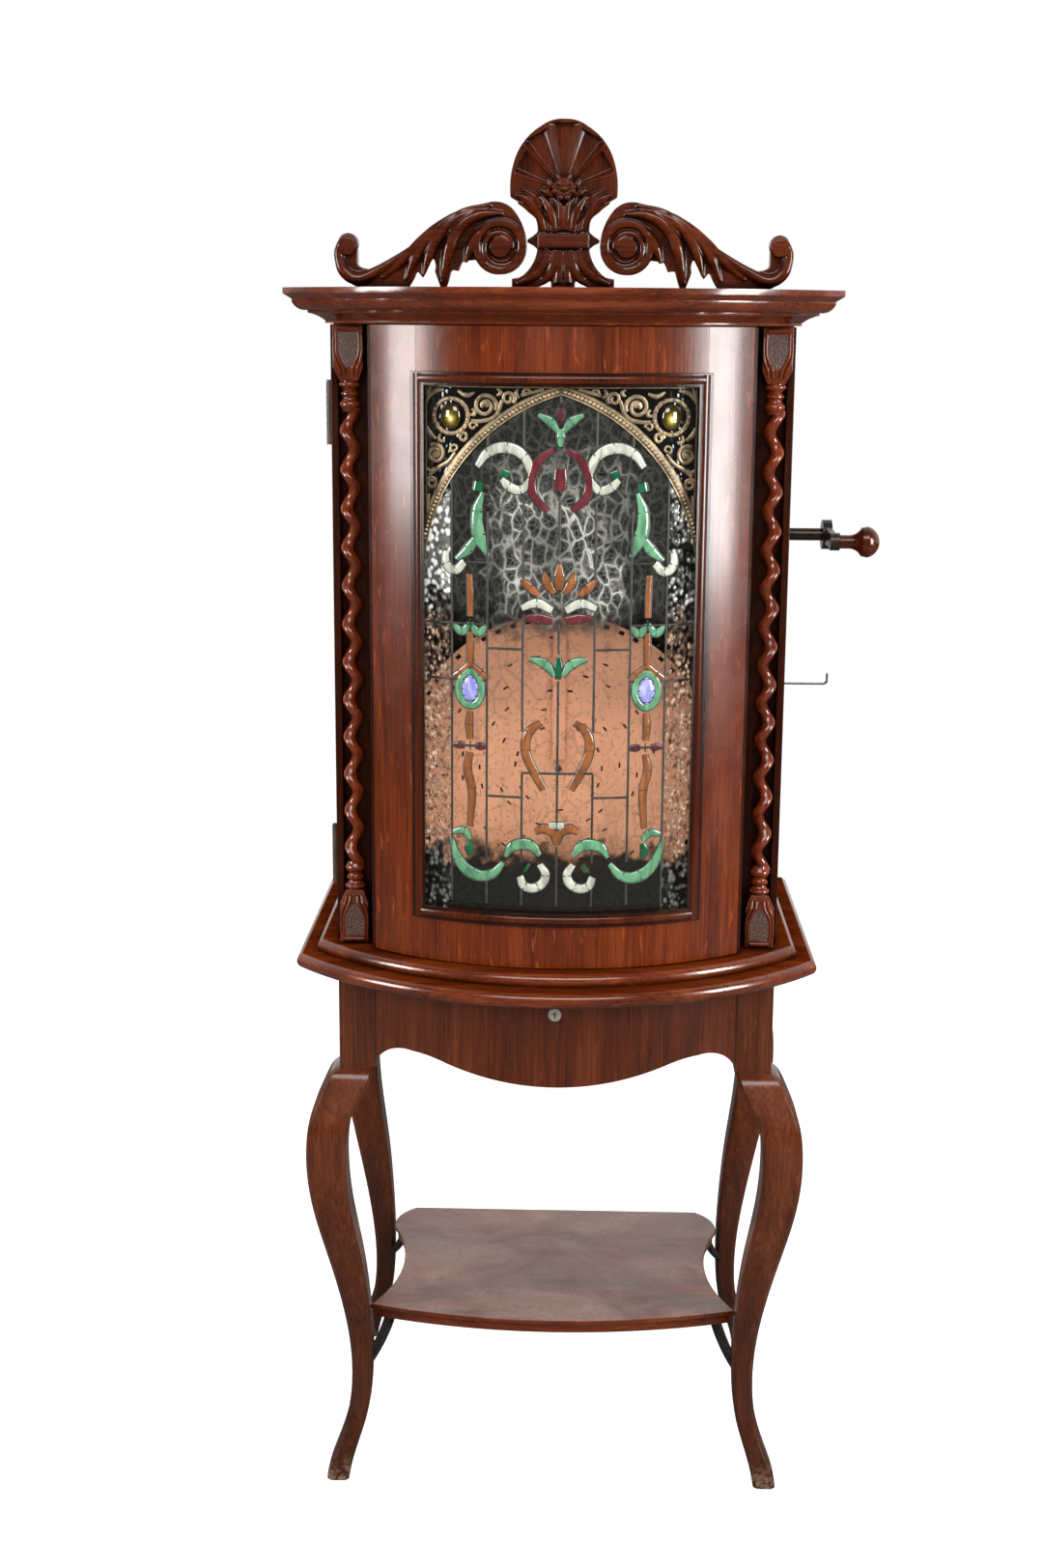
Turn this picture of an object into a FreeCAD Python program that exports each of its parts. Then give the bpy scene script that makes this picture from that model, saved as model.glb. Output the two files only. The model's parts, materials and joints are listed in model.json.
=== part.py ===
import FreeCAD, Part
import math
import os
import re
import Sketcher
from FreeCAD import Placement, Rotation, Vector

# Disc music box on a cabriole stand. X runs across the front, the front looks towards -Y,
# and Z is up from the floor. The origin is on the floor below the middle of the stand.

SIZES = (
    # Stand
    ("case_half", 277.0),
    ("stand_half", 194.0),
    ("leg_block", 47.0),
    ("block_foot", 578.0),
    ("leg_square", 130.0),
    ("leg_arris", 5.0),
    ("rail_thick", 20.0),
    ("rail_high", 102.0),
    ("runner_ledge", 13.0),
    ("runner_rise", 9.0),
    # Shelf
    ("shelf_drop", 17.0),
    ("shelf_thick", 19.0),
    ("shelf_lip", 6.0),
    ("shelf_inset", 4.0),
    ("shelf_front", 196.0),
    ("shelf_back", 156.0),
    ("shelf_tip", 157.0),
    ("shelf_waist", 210.0),
    ("shelf_bulge", 232.0),
    ("shelf_bulge_back", 88.0),
    ("shelf_back_half", 206.0),
    ("bracket_root", 8.0),
    ("bracket_rise", 8.0),
    ("bracket_reach", 57.0),
    ("bracket_bulge", 5.0),
    ("bracket_thick", 6.0),
    ("bracket_width", 14.0),
    # Bowed front, all of it turned about one upright axis
    ("door_radius", 374.0),
    ("corner_front", 236.74),
    ("door_thick", 25.0),
    ("door_half", 225.0),
    ("door_gap", 1.2),
    ("door_high", 760.6),
    ("post_back", 166.3),
    ("recess_back", 176.0),
    ("post_lip", 9.0),
    ("return_wall", 28.0),
    ("recess_wall", 4.0),
    ("apron_set_back", 22.0),
    ("apron_thick", 22.0),
    ("apron_gap", 2.0),
    ("apron_side_gap", 1.4),
    ("apron_high", 116.0),
    ("apron_arch_high", 88.5),
    ("apron_arch_place", 180.5),
    ("apron_end_high", 116.0),
    ("arch_inner_radius", 130.0),
    # Window
    ("window_half", 159.5),
    ("bottom_rail", 68.8),
    ("top_rail", 67.8),
    ("bead_width", 16.0),
    ("bead_lap", 6.0),
    ("bead_proud", 4.0),
    ("glass_set_back", 14.0),
    ("glass_thick", 4.0),
    ("arch_drop", 197.0),
    ("arch_centre", 37.0),
    ("arch_band", 10.0),
    ("fret_thick", 1.6),
    ("band_thick", 3.0),
    ("came_width", 3.0),
    ("came_proud", 1.6),
    ("came_pitch", 42.3),
    ("came_rise_0", 319.0),
    ("came_rise_1", 271.5),
    ("came_rise_2", 202.5),
    ("came_rise_3", 152.5),
    ("jewel_side", 128.0),
    ("jewel_drop", 35.0),
    ("jewel_radius", 13.0),
    ("jewel_rise", 6.0),
    # Corner columns
    ("column_side", 254.0),
    ("column_front", 195.5),
    ("column_strand", 8.2),
    ("column_throw", 4.0),
    ("column_pitch", 47.0),
    ("bead_run", 34.0),
    ("column_end", 11.0),
    ("ring_reach", 13.5),
    ("ring_neck", 9.0),
    ("ring_tall", 8.0),
    ("column_block", 36.0),
    ("block_height", 50.0),
    ("block_taper", 16.0),
    # Case
    ("side_thick", 18.0),
    ("back_thick", 12.0),
    ("case_front", 163.7),
    ("top_board", 16.0),
    # Door hinges
    ("hinge_side", 281.5),
    ("hinge_front", 165.0),
    ("hinge_knuckle", 4.5),
    ("hinge_pin", 2.0),
    ("pin_play", 0.05),
    ("hinge_height", 75.0),
    ("hinge_leaf", 1.2),
    ("leaf_reach", 16.0),
    ("hinge_rise", 101.8),
    ("hinge_drop", 105.8),
    ("knuckle_gap", 0.4),
    # Crest
    ("crest_front", 228.0),
    ("crest_thick", 26.0),
    ("scroll_thick", 20.0),
    ("volute_side", 73.5),
    ("volute_rise", 47.0),
    ("volute_radius", 31.0),
    ("volute_eye", 12.0),
    ("groove_reveal", 7.0),
    ("groove_deep", 4.0),
    ("curl_side", 251.5),
    ("curl_rise", 47.0),
    ("curl_radius", 10.0),
    ("band_half", 29.0),
    ("band_foot", 46.5),
    ("band_head", 61.5),
    ("slot_x", 14.0),
    ("slot_wide", 17.0),
    ("slot_tall", 13.0),
    ("hub_rise", 112.0),
    ("hub_radius", 12.0),
    ("flute_spread", 29.0),
    ("flute_half", 0.25),
    ("flute_deep", 0.07),
    ("flute_start", 9.0),
    ("flute_long_0", 74.0),
    ("flute_long_1", 69.0),
    ("flute_long_2", 60.0),
    # Tune disc and what carries it
    ("disc_radius", 197.0),
    ("disc_thick", 1.0),
    ("disc_front", 140.5),
    ("disc_rise", 213.0),
    ("rim_hole_radius", 190.0),
    ("rim_holes", 60),
    ("rim_hole_long", 7.0),
    ("rim_hole_wide", 5.0),
    ("tune_rows", 6),
    ("tune_repeats", 12),
    ("tune_inner", 55.0),
    ("tune_step", 22.5),
    ("tune_long", 7.0),
    ("tune_wide", 2.4),
    ("post_radius", 4.0),
    ("post_end", 6.0),
    ("bore_play", 0.05),
    ("seat_play", 0.3),
    ("bedplate_front", 98.0),
    ("bedplate_thick", 6.0),
    ("bedplate_left", 185.0),
    ("bedplate_right", 170.0),
    ("bedplate_rise", 35.0),
    ("bedplate_high", 587.0),
    ("bearer_deep", 30.0),
    # Star wheels and combs
    ("star_radius", 10.0),
    ("star_root", 6.5),
    ("star_points", 8),
    ("star_count", 18),
    ("star_pitch", 7.5),
    ("star_thick", 2.4),
    ("star_inner", 47.0),
    ("star_disc_gap", 1.0),
    ("star_arbor", 1.6),
    ("comb_gap", 0.7),
    ("comb_thick", 2.0),
    ("comb_spine", 18.0),
    ("comb_set", 4.0),
    ("comb_long", 62.0),
    ("comb_short", 34.0),
    ("comb_tooth", 5.0),
    # Pressure bar
    ("bar_hinge_rise", 255.0),
    ("bar_hinge_front", 150.0),
    ("bar_pin_radius", 2.5),
    ("ear_reach", 6.0),
    ("bar_width", 16.0),
    ("bar_thick", 3.0),
    ("bar_end_rise", 15.0),
    ("roller_radius", 6.0),
    ("roller_long", 5.0),
    ("roller_rise", 187.0),
    ("roller_disc_gap", 0.4),
    # Gear train, all arbors parallel to X
    ("gear_module", 3.0),
    ("gear_thick", 5.0),
    ("tooth_tip", 2.4),
    ("tooth_root", 3.3),
    ("tip_half", 1.1),
    ("root_half", 2.6),
    ("great_teeth", 60),
    ("second_pinion", 14),
    ("second_teeth", 46),
    ("third_pinion", 14),
    ("third_teeth", 44),
    ("drive_teeth", 30),
    ("fan_pinion", 12),
    ("third_bearing", 62.0),
    ("fan_bearing", -20.0),
    ("drive_pitch_radius", 38.0),
    ("drive_pins", 12),
    ("drive_pin_radius", 1.5),
    ("drive_pin_reach", 2.5),
    ("crank_rise", 285.0),
    ("bush_radius", 11.0),
    ("bush_flange", 17.0),
    ("bush_proud", 5.0),
    ("arbor_radius", 4.0),
    ("winding_radius", 7.0),
    ("inner_plate", 198.0),
    ("plate_thick", 3.0),
    ("train_gap", 3.0),
    ("outer_gap", 5.0),
    ("plate_margin", 12.0),
    ("pillar_gap", 16.0),
    ("pillar_radius", 5.0),
    ("back_pillar_reach", 78.0),
    ("barrel_left", 112.0),
    ("barrel_radius", 52.0),
    ("bracket_plate", 4.0),
    ("ratchet_radius", 20.0),
    ("ratchet_teeth", 12),
    ("ratchet_tooth", 4.0),
    ("ratchet_wide", 4.0),
    ("ratchet_set_out", 4.0),
    ("click_place", 34.0),
    ("click_gap", 0.4),
    ("click_clear", 1.1),
    ("click_pin", 2.0),
    ("fan_radius", 30.0),
    ("fan_set_out", 4.0),
    ("fan_wide", 14.0),
    # Crank and start rod
    ("shaft_radius", 8.0),
    ("crank_place", 338.0),
    ("crank_arm", 91.0),
    ("crank_thick", 12.0),
    ("crank_boss", 19.0),
    ("knob_boss", 11.0),
    ("spindle_radius", 3.0),
    ("knob_radius", 19.5),
    ("knob_neck", 8.5),
    ("knob_long", 50.0),
    ("rod_rise", 88.0),
    ("rod_radius", 1.5),
    ("rod_reach", 352.0),
    ("rod_inner", 238.0),
    ("rod_bend", 5.0),
    ("rod_tip", 14.0),
    # Drawer
    ("tray_half", 204.0),
    ("tray_wall", 10.0),
    ("tray_floor", 8.0),
    ("tray_back", 150.0),
    ("tray_rise", 14.0),
    ("tray_high", 61.0),
    ("slide_play", 0.3),
    ("lock_drop", 21.0),
    ("lock_radius", 8.0),
    ("lock_proud", 1.5),
)

# Stations down a cabriole leg: height, outward offset from the block, side of the square. They
# are drawn for a curve LEG_DRAWN high and stretch with it.
LEG_DRAWN = 578.0
LEG_STATIONS = (
    ("shoulder", 571.0, 8.0, 56.0),
    ("crown", 556.0, 15.0, 59.0),
    ("hip", 527.0, 30.0, 54.0),
    ("knee", 463.0, 39.0, 51.0),
    ("thigh", 393.0, 33.0, 49.0),
    ("calf", 319.0, 19.0, 44.0),
    ("shin", 245.0, 7.0, 36.0),
    ("wrist", 192.0, 1.5, 31.0),
    ("ankle", 135.0, 0.5, 27.5),
    ("heel", 82.0, 7.0, 27.0),
    ("instep", 47.0, 18.5, 28.0),
    ("toe", 20.0, 27.5, 30.0),
    ("sole", 0.0, 31.0, 29.0),
)

# Moulded edges: reach beyond the case and drop from the top; four values reach the point by a curve
DECK_EDGE = (
    (0.0, 0.0),
    (16.0, 0.0),
    (24.0, 15.0, 25.05, 6.34),
    (40.0, 16.5),
    (42.0, 36.0, 51.0, 27.0),
    (14.0, 38.0),
    (14.0, 42.0),
)
CORNICE_EDGE = (
    (0.0, 0.0),
    (54.0, 0.0),
    (54.0, 7.0),
    (44.0, 13.0),
    (44.0, 16.0),
    (26.0, 26.0, 37.0, 24.0),
    (26.0, 29.0),
    (6.0, 38.0, 17.0, 31.5),
    (6.0, 41.0),
)

# Piercings of the fret: distance from the side of the window, distance below its head, radius
FRET_HOLES = (
    (32.0, 35.0, 8.5),
    (72.0, 24.0, 14.0),
    (104.0, 15.0, 7.0),
    (13.0, 76.0, 11.0),
    (33.0, 66.0, 5.0),
    (9.0, 108.0, 6.0),
    (11.0, 11.0, 6.0),
    (52.0, 52.0, 5.0),
    (126.0, 9.0, 3.0),
)

# Front views of the crest: x and height above the cornice; four values reach the point by a curve
SCROLL_EDGE = (
    (42.5, 47.0, 51.6, 25.1),
    (60.0, 91.0, 47.3, 71.2),
    (87.0, 97.5, 74.0, 98.0),
    (157.0, 59.5, 123.5, 84.5),
    (222.0, 22.5, 190.0, 37.0),
    (240.5, 26.0, 232.0, 21.9),
    (240.5, 46.0),
    (262.5, 46.0, 251.5, 62.0),
    (258.0, 14.5, 264.3, 30.0),
    (240.0, 0.0, 250.5, 6.0),
    (187.0, 0.0),
    (182.0, 0.0),
    (171.0, 20.0, 175.0, 11.0),
    (164.5, 12.0),
    (153.0, 36.5, 158.5, 23.0),
    (150.0, 19.0, 149.5, 28.0),
    (143.0, 0.0),
    (137.5, 0.0),
    (130.5, 21.0, 133.0, 12.0),
    (122.5, 19.5),
    (117.5, 31.0),
    (102.0, 32.5),
    (73.5, 16.0, 90.0, 19.5),
)
STEM_EDGE = (
    (55.0, 99.0),
    (30.4, 64.0, 36.8, 87.0),
    (35.0, 60.0),
    (42.0, 55.5),
    (42.0, 52.5),
    (35.0, 49.0),
    (30.4, 45.0),
    (50.0, 13.0, 35.5, 28.5),
    (60.0, 11.0),
    (60.0, 0.0),
)
SHELL_EDGE = (
    (0.0, 190.5),
    (27.0, 182.5, 14.0, 189.0),
    (58.5, 141.5, 46.5, 165.5),
    (62.0, 103.5, 62.3, 121.0),
    (55.0, 99.2),
)

# Flutes of the shell on each side of the middle one
FLUTES_ASIDE = 2

# Short lead lines: row, and the upright lines they join
CAME_TIES = (
    (0, 2, 3),
    (1, 2, 3),
    (2, 1, 2),
    (3, 2, 3),
)

doc = FreeCAD.newDocument("DiscMusicBox")
sizes = doc.addObject("Spreadsheet::Sheet", "Sizes")
cells_list = list(SIZES)
for station, height, offset, side in LEG_STATIONS:
    cells_list.append((station + "_offset", offset))
    cells_list.append((station + "_side", side))
for word, edge in (("deck", DECK_EDGE), ("cornice", CORNICE_EDGE)):
    for index, values in enumerate(edge):
        names = ("reach", "drop", "curve", "curve_drop")
        for name, value in zip(names, values):
            cells_list.append(("%s_%s_%d" % (word, name, index), value))
for index, values in enumerate(FRET_HOLES):
    for name, value in zip(("aside", "below", "radius"), values):
        cells_list.append(("fret_%s_%d" % (name, index), value))
for word, edge in (("scroll", SCROLL_EDGE), ("stem", STEM_EDGE), ("shell", SHELL_EDGE)):
    for index, values in enumerate(edge):
        for name, value in zip(("x", "z", "mx", "mz"), values):
            cells_list.append(("%s_%s_%d" % (word, name, index), value))
for row, (alias, amount) in enumerate(cells_list, start=1):
    sizes.set("A%d" % row, alias)
    sizes.set("B%d" % row, str(amount))
    sizes.setAlias("B%d" % row, alias)
# Places that follow from the sizes, from the floor up
DERIVED = [(station + "_height", "=%s * block_foot / %s" % (height, LEG_DRAWN))
           for station, height, offset, side in LEG_STATIONS] + [
    ("shelf_top", "=shin_height - shelf_drop"),
    ("bracket_foot", "=ankle_height + bracket_rise"),
    ("deck_foot", "=block_foot + leg_square"),
    ("deck_top", "=deck_foot + deck_drop_6"),
    ("rail_foot", "=deck_foot - rail_high"),
    ("runner_foot", "=rail_foot + runner_rise"),
    ("tray_foot", "=runner_foot + tray_rise"),
    ("tray_head", "=tray_foot + tray_high"),
    ("apron_head", "=deck_foot - apron_gap"),
    ("apron_centre_foot", "=apron_head - apron_high"),
    ("apron_arch_head", "=apron_head - apron_arch_high"),
    ("apron_end_foot", "=apron_head - apron_end_high"),
    ("lock_height", "=apron_head - lock_drop"),
    ("door_foot", "=deck_top + door_gap"),
    ("door_head", "=door_foot + door_high"),
    ("case_head", "=door_head + door_gap"),
    ("cornice_head", "=case_head + cornice_drop_8"),
    ("window_foot", "=door_foot + bottom_rail"),
    ("window_head", "=door_head - top_rail"),
    ("arch_spring", "=window_head - arch_drop"),
    ("jewel_height", "=window_head - jewel_drop"),
    ("came_tie_0", "=window_foot + came_rise_0"),
    ("came_tie_1", "=window_foot + came_rise_1"),
    ("came_tie_2", "=window_foot + came_rise_2"),
    ("came_tie_3", "=window_foot + came_rise_3"),
    ("hinge_low", "=door_foot + hinge_rise"),
    ("hinge_high", "=door_head - hinge_drop"),
    ("disc_height", "=deck_top + disc_rise"),
    ("bedplate_foot", "=deck_top + bedplate_rise"),
    ("bedplate_head", "=bedplate_foot + bedplate_high"),
    ("star_first", "=disc_height + star_inner"),
    ("bar_foot", "=disc_height + bar_end_rise"),
    ("bar_hinge_height", "=disc_height + bar_hinge_rise"),
    ("roller_head", "=disc_height + roller_rise"),
    ("crank_height", "=disc_height + crank_rise"),
    ("rod_height", "=disc_height + rod_rise"),
    ("bow_centre", "=sqrt(door_radius ^ 2 - door_half ^ 2) - corner_front"),
    ("apron_radius", "=door_radius - apron_set_back"),
]
for row, (alias, amount) in enumerate(DERIVED, start=len(cells_list) + 1):
    sizes.set("A%d" % row, alias)
    sizes.set("B%d" % row, amount)
    sizes.setAlias("B%d" % row, alias)
doc.recompute()

ALIASES = {alias for alias, amount in cells_list} | {alias for alias, amount in DERIVED}
PIECES = []


def cells(text):
    """Write a size formula with each alias pointing at the spreadsheet."""
    return re.sub(r"[a-z]\w*", lambda word: "Sizes." + word.group(0)
                  if word.group(0) in ALIASES else word.group(0), text)


def number(text):
    """Value of a size formula in millimetres, degrees or counts."""
    result = sizes.evalExpression(cells(text))
    return float(getattr(result, "Value", result))


def bind(item, name, text):
    item.setExpression(name, cells(text))


def place(item, x="0", y="0", z="0"):
    for axis, text in zip("xyz", (x, y, z)):
        if text != "0":
            bind(item, "Placement.Base." + axis, text)
    return item


def piece(name, item):
    """Give the finished sub-part its name, which also names its file."""
    item.Label = name
    PIECES.append(item)
    return item


def solid(name, shape):
    """A sub-part whose shape is worked out in code from the sheet's sizes."""
    item = doc.addObject("Part::Feature", name)
    item.Shape = shape
    item.Placement = Placement()
    return piece(name, item)


def outline(name, points, turn=None):
    """Closed sketch. A point is (x, y); (x, y, mx, my) reaches it by an arc through (mx, my)."""
    sketch = doc.addObject("Sketcher::SketchObject", name)
    corners = [Vector(number(p[0]), number(p[1]), 0) for p in points]
    for index, point in enumerate(points):
        start = corners[index - 1]
        if len(point) == 4:
            middle = Vector(number(point[2]), number(point[3]), 0)
            arc = Part.Arc(start, middle, corners[index])
            sketch.addGeometry(arc, False)
        else:
            sketch.addGeometry(Part.LineSegment(start, corners[index]), False)
    count = len(points)
    ends = [[1, 2]] * count
    for index, point in enumerate(points):
        if len(point) == 4:
            first = sketch.getPoint(index, 1)
            if first.distanceToPoint(corners[index - 1]) > 1e-6:
                ends[index] = [2, 1]
    for index in range(count):
        after = (index + 1) % count
        sketch.addConstraint(Sketcher.Constraint("Coincident", index, ends[index][1],
                                                 after, ends[after][0]))
    for index, point in enumerate(points):
        for kind, text in (("DistanceX", point[0]), ("DistanceY", point[1])):
            held = sketch.addConstraint(Sketcher.Constraint(kind, index, ends[index][1],
                                                            number(text)))
            bind(sketch, "Constraints[%d]" % held, text)
    for index, point in enumerate(points):
        if len(point) == 4:
            mark = sketch.addGeometry(Part.Point(Vector(number(point[2]), number(point[3]), 0)),
                                      True)
            sketch.addConstraint(Sketcher.Constraint("PointOnObject", mark, 1, index))
            for kind, text in (("DistanceX", point[2]), ("DistanceY", point[3])):
                held = sketch.addConstraint(Sketcher.Constraint(kind, mark, 1, number(text)))
                bind(sketch, "Constraints[%d]" % held, text)
    if turn == "front":
        sketch.Placement = Placement(Vector(), Rotation(Vector(1, 0, 0), 90))
    if turn == "side":
        sketch.Placement = Placement(Vector(), Rotation(Vector(0, 1, 0), Vector(0, 0, 1),
                                                        Vector(1, 0, 0), "ZXY"))
    return sketch


def extrude(name, sketch, along, length, middle=False):
    item = doc.addObject("Part::Extrusion", name)
    item.Base = sketch
    item.DirMode = "Custom"
    item.Dir = along
    item.Solid = True
    item.Symmetric = middle
    bind(item, "LengthFwd", length)
    return item


def box(name, x, y, z):
    """Block between two limits on each axis, each limit a size formula."""
    item = doc.addObject("Part::Box", name)
    for side, (low, high) in zip(("Length", "Width", "Height"), (x, y, z)):
        bind(item, side, "(%s) - (%s)" % (high, low))
    return place(item, x[0], y[0], z[0])


AXIS_TURN = {
    "X": Rotation(Vector(0, 1, 0), 90),
    "Y": Rotation(Vector(1, 0, 0), -90),
    "Z": Rotation(),
}


def rod(name, axis, radius, length, x="0", y="0", z="0"):
    """Round bar from a point along a positive axis."""
    item = doc.addObject("Part::Cylinder", name)
    item.Placement = Placement(Vector(), AXIS_TURN[axis])
    bind(item, "Radius", radius)
    bind(item, "Height", length)
    return place(item, x, y, z)


def fuse(name, *items):
    item = doc.addObject("Part::MultiFuse", name)
    item.Shapes = list(items)
    return item


def common(name, *items):
    item = doc.addObject("Part::MultiCommon", name)
    item.Shapes = list(items)
    return item


def cut(name, base, *tools):
    item = doc.addObject("Part::Cut", name)
    item.Base = base
    item.Tool = tools[0] if len(tools) == 1 else fuse(name + "_tools", *tools)
    return item


def mirror(name, source, normal):
    item = doc.addObject("Part::Mirroring", name)
    item.Source = source
    item.Normal = normal
    return item


def group(name, *items):
    """Several equal solids kept as one sub-part."""
    item = doc.addObject("Part::Compound", name)
    item.Links = list(items)
    return piece(name, item)


def turned(name, points, place_y="0"):
    """Solid of revolution about an upright axis from a section drawn right of it."""
    item = doc.addObject("Part::Revolution", name)
    item.Source = outline(name + "_section", points, "front")
    item.Axis = Vector(0, 0, 1)
    item.Base = Vector()
    item.Angle = 360
    item.Solid = True
    return place(item, y=place_y)


def ring(name, inner, outer, low, high):
    """Ring about the upright axis of the bow."""
    return turned(name, ((inner, low), (outer, low), (outer, high), (inner, high)), "bow_centre")


def bowed(name, inner, outer, low, high, left, right):
    """Board that follows the bow between two radii and two planes across X."""
    span = box(name + "_span", (left, right), ("bow_centre - 2 * door_radius", "bow_centre"),
               (low, high))
    return common(name, ring(name + "_ring", inner, outer, low, high), span)


def bow_front(radius, side):
    """Y of the bow's front at a radius and a distance from the middle."""
    return "(bow_centre - sqrt((%s)^2 - (%s)^2))" % (radius, side)


def bow_plate(name, inner, outer, low, high, *elevations):
    """Plate on the bow whose front view is the given outlines together."""
    prisms = []
    for index, elevation in enumerate(elevations):
        place(elevation, y="bow_centre")
        prisms.append(extrude("%s_view_%d" % (name, index), elevation, Vector(0, -1, 0),
                              "2 * door_radius"))
    view = prisms[0] if len(prisms) == 1 else fuse(name + "_view", *prisms)
    return common(name, ring(name + "_ring", inner, outer, low, high), view)


LEFT = Vector(1, 0, 0)
FRONT_TO_BACK = Vector(0, 1, 0)
UP = Vector(0, 0, 1)


# Cabriole legs: eight-sided sections with broken arrises, lofted from shoulder to sole
def leg_section(name, height, offset, side):
    centre_x = "case_half - leg_block / 2 + (%s)" % offset
    centre_y = "stand_half - leg_block / 2 + (%s)" % offset
    near = "(%s) / 2" % side
    short = "((%s) / 2 - leg_arris)" % side
    corners = []
    for along, across in ((near, short), (short, near), ("-" + short, near), ("-" + near, short),
                          ("-" + near, "-" + short), ("-" + short, "-" + near),
                          (short, "-" + near), (near, "-" + short)):
        corners.append((centre_x + " + " + along, centre_y + " + " + across))
    return place(outline(name, corners), z=height)


sections = [leg_section("leg_at_block", "block_foot", "0", "leg_block")]
for station, height, offset, side in LEG_STATIONS:
    sections.append(leg_section("leg_at_" + station, station + "_height", station + "_offset",
                                station + "_side"))
leg_curve = doc.addObject("Part::Loft", "leg_curve")
leg_curve.Sections = sections
leg_curve.Solid = True
leg_curve.Ruled = False
leg_block = box("leg_square", ("case_half - leg_block", "case_half"),
                ("stand_half - leg_block", "stand_half"), ("block_foot", "deck_foot"))
leg_rear_right = piece("leg_rear_right", fuse("leg_rear_right", leg_curve, leg_block))
leg_rear_left = piece("leg_rear_left", mirror("leg_rear_left", leg_rear_right, LEFT))
piece("leg_front_right", mirror("leg_front_right", leg_rear_right, FRONT_TO_BACK))
piece("leg_front_left", mirror("leg_front_left", leg_rear_left, FRONT_TO_BACK))

# Rails between the leg blocks, set in by the same small reveal
RAIL_SET_IN = "(leg_block - rail_thick) / 2"
side_rail = box("side_rail_right", ("case_half - %s - rail_thick" % RAIL_SET_IN,
                                    "case_half - %s" % RAIL_SET_IN),
                ("leg_block - stand_half", "stand_half - leg_block"), ("rail_foot", "deck_foot"))
back_rail = box("back_rail", ("leg_block - case_half", "case_half - leg_block"),
                ("stand_half - %s - rail_thick" % RAIL_SET_IN, "stand_half - %s" % RAIL_SET_IN),
                ("rail_foot", "deck_foot"))
group("stand_rails", side_rail, mirror("side_rail_left", side_rail, LEFT), back_rail)

# Drawer runners: a ledge below the tray and a guide beside it
RAIL_INSIDE = "case_half - %s - rail_thick" % RAIL_SET_IN
runner_profile = outline("runner_profile", (
    ("tray_half - runner_ledge", "runner_foot"),
    (RAIL_INSIDE, "runner_foot"),
    (RAIL_INSIDE, "tray_foot + 2 * runner_ledge"),
    ("tray_half + slide_play", "tray_foot + 2 * runner_ledge"),
    ("tray_half + slide_play", "tray_foot - slide_play"),
    ("tray_half - runner_ledge", "tray_foot - slide_play")), "front")
runner = extrude("runner_right", runner_profile, FRONT_TO_BACK, "2 * (stand_half - leg_block)", True)
group("drawer_runners", runner, mirror("runner_left", runner, LEFT))

# Serpentine shelf: a thin lip over a slightly smaller board
LEG_INSIDE = "case_half - leg_block / 2 + shin_offset - shin_side / 2"
shelf_outline = outline("shelf_outline", (
    ("-(%s)" % LEG_INSIDE, "-shelf_tip", "-shelf_waist", "-(shelf_tip - shelf_bulge_back) / 2"),
    (LEG_INSIDE, "-shelf_tip", "0", "-shelf_front"),
    ("shelf_bulge", "shelf_bulge_back", "shelf_waist", "-(shelf_tip - shelf_bulge_back) / 2"),
    ("shelf_back_half", "shelf_back", "shelf_bulge - 2", "shelf_back - (shelf_back - shelf_bulge_back) / 2"),
    ("-shelf_back_half", "shelf_back"),
    ("-shelf_bulge", "shelf_bulge_back", "2 - shelf_bulge",
     "shelf_back - (shelf_back - shelf_bulge_back) / 2")))
place(shelf_outline, z="shelf_top - shelf_lip")
shelf_lip = extrude("shelf_edge", shelf_outline, UP, "shelf_lip")
shelf_inner = doc.addObject("Part::Offset2D", "shelf_inner")
shelf_inner.Source = shelf_outline
shelf_inner.Join = "Intersection"
bind(shelf_inner, "Value", "-shelf_inset")
shelf_board = extrude("shelf_board", shelf_inner, Vector(0, 0, -1), "shelf_thick - shelf_lip")
piece("shelf", fuse("shelf", shelf_lip, shelf_board))

# Shelf brackets: bent strips in the diagonal plane, rising out of each leg to the shelf
SHELF_UNDER = "shelf_top - shelf_thick"
BRACKET_MID = "(bracket_root + bracket_reach) / 2 + bracket_bulge"
BRACKET_MID_HEIGHT = "(bracket_foot + %s) / 2 - bracket_bulge / 2" % SHELF_UNDER
bracket_outline = outline("bracket_outline", (
    ("bracket_root", "bracket_foot"),
    ("bracket_reach", SHELF_UNDER, BRACKET_MID, BRACKET_MID_HEIGHT),
    ("bracket_reach - 1.4 * bracket_thick", SHELF_UNDER),
    ("bracket_root", "bracket_foot + 1.4 * bracket_thick",
     BRACKET_MID + " - 0.8 * bracket_thick", BRACKET_MID_HEIGHT + " + 0.6 * bracket_thick")))
bracket_outline.Placement = Placement(Vector(), Rotation(Vector(-1, -1, 0), Vector(0, 0, 1),
                                                         Vector(-1, 1, 0), "ZXY"))
place(bracket_outline, "case_half - leg_block / 2 + wrist_offset",
      "stand_half - leg_block / 2 + wrist_offset")
bracket_strip = extrude("bracket_strip", bracket_outline, Vector(-1, 1, 0), "bracket_width", True)
bracket_rear_right = cut("bracket_rear_right", bracket_strip, leg_rear_right)
bracket_rear_left = mirror("bracket_rear_left", bracket_rear_right, LEFT)
group("shelf_brackets", bracket_rear_right, bracket_rear_left,
      mirror("bracket_front_right", bracket_rear_right, FRONT_TO_BACK),
      mirror("bracket_front_left", bracket_rear_left, FRONT_TO_BACK))


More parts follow.
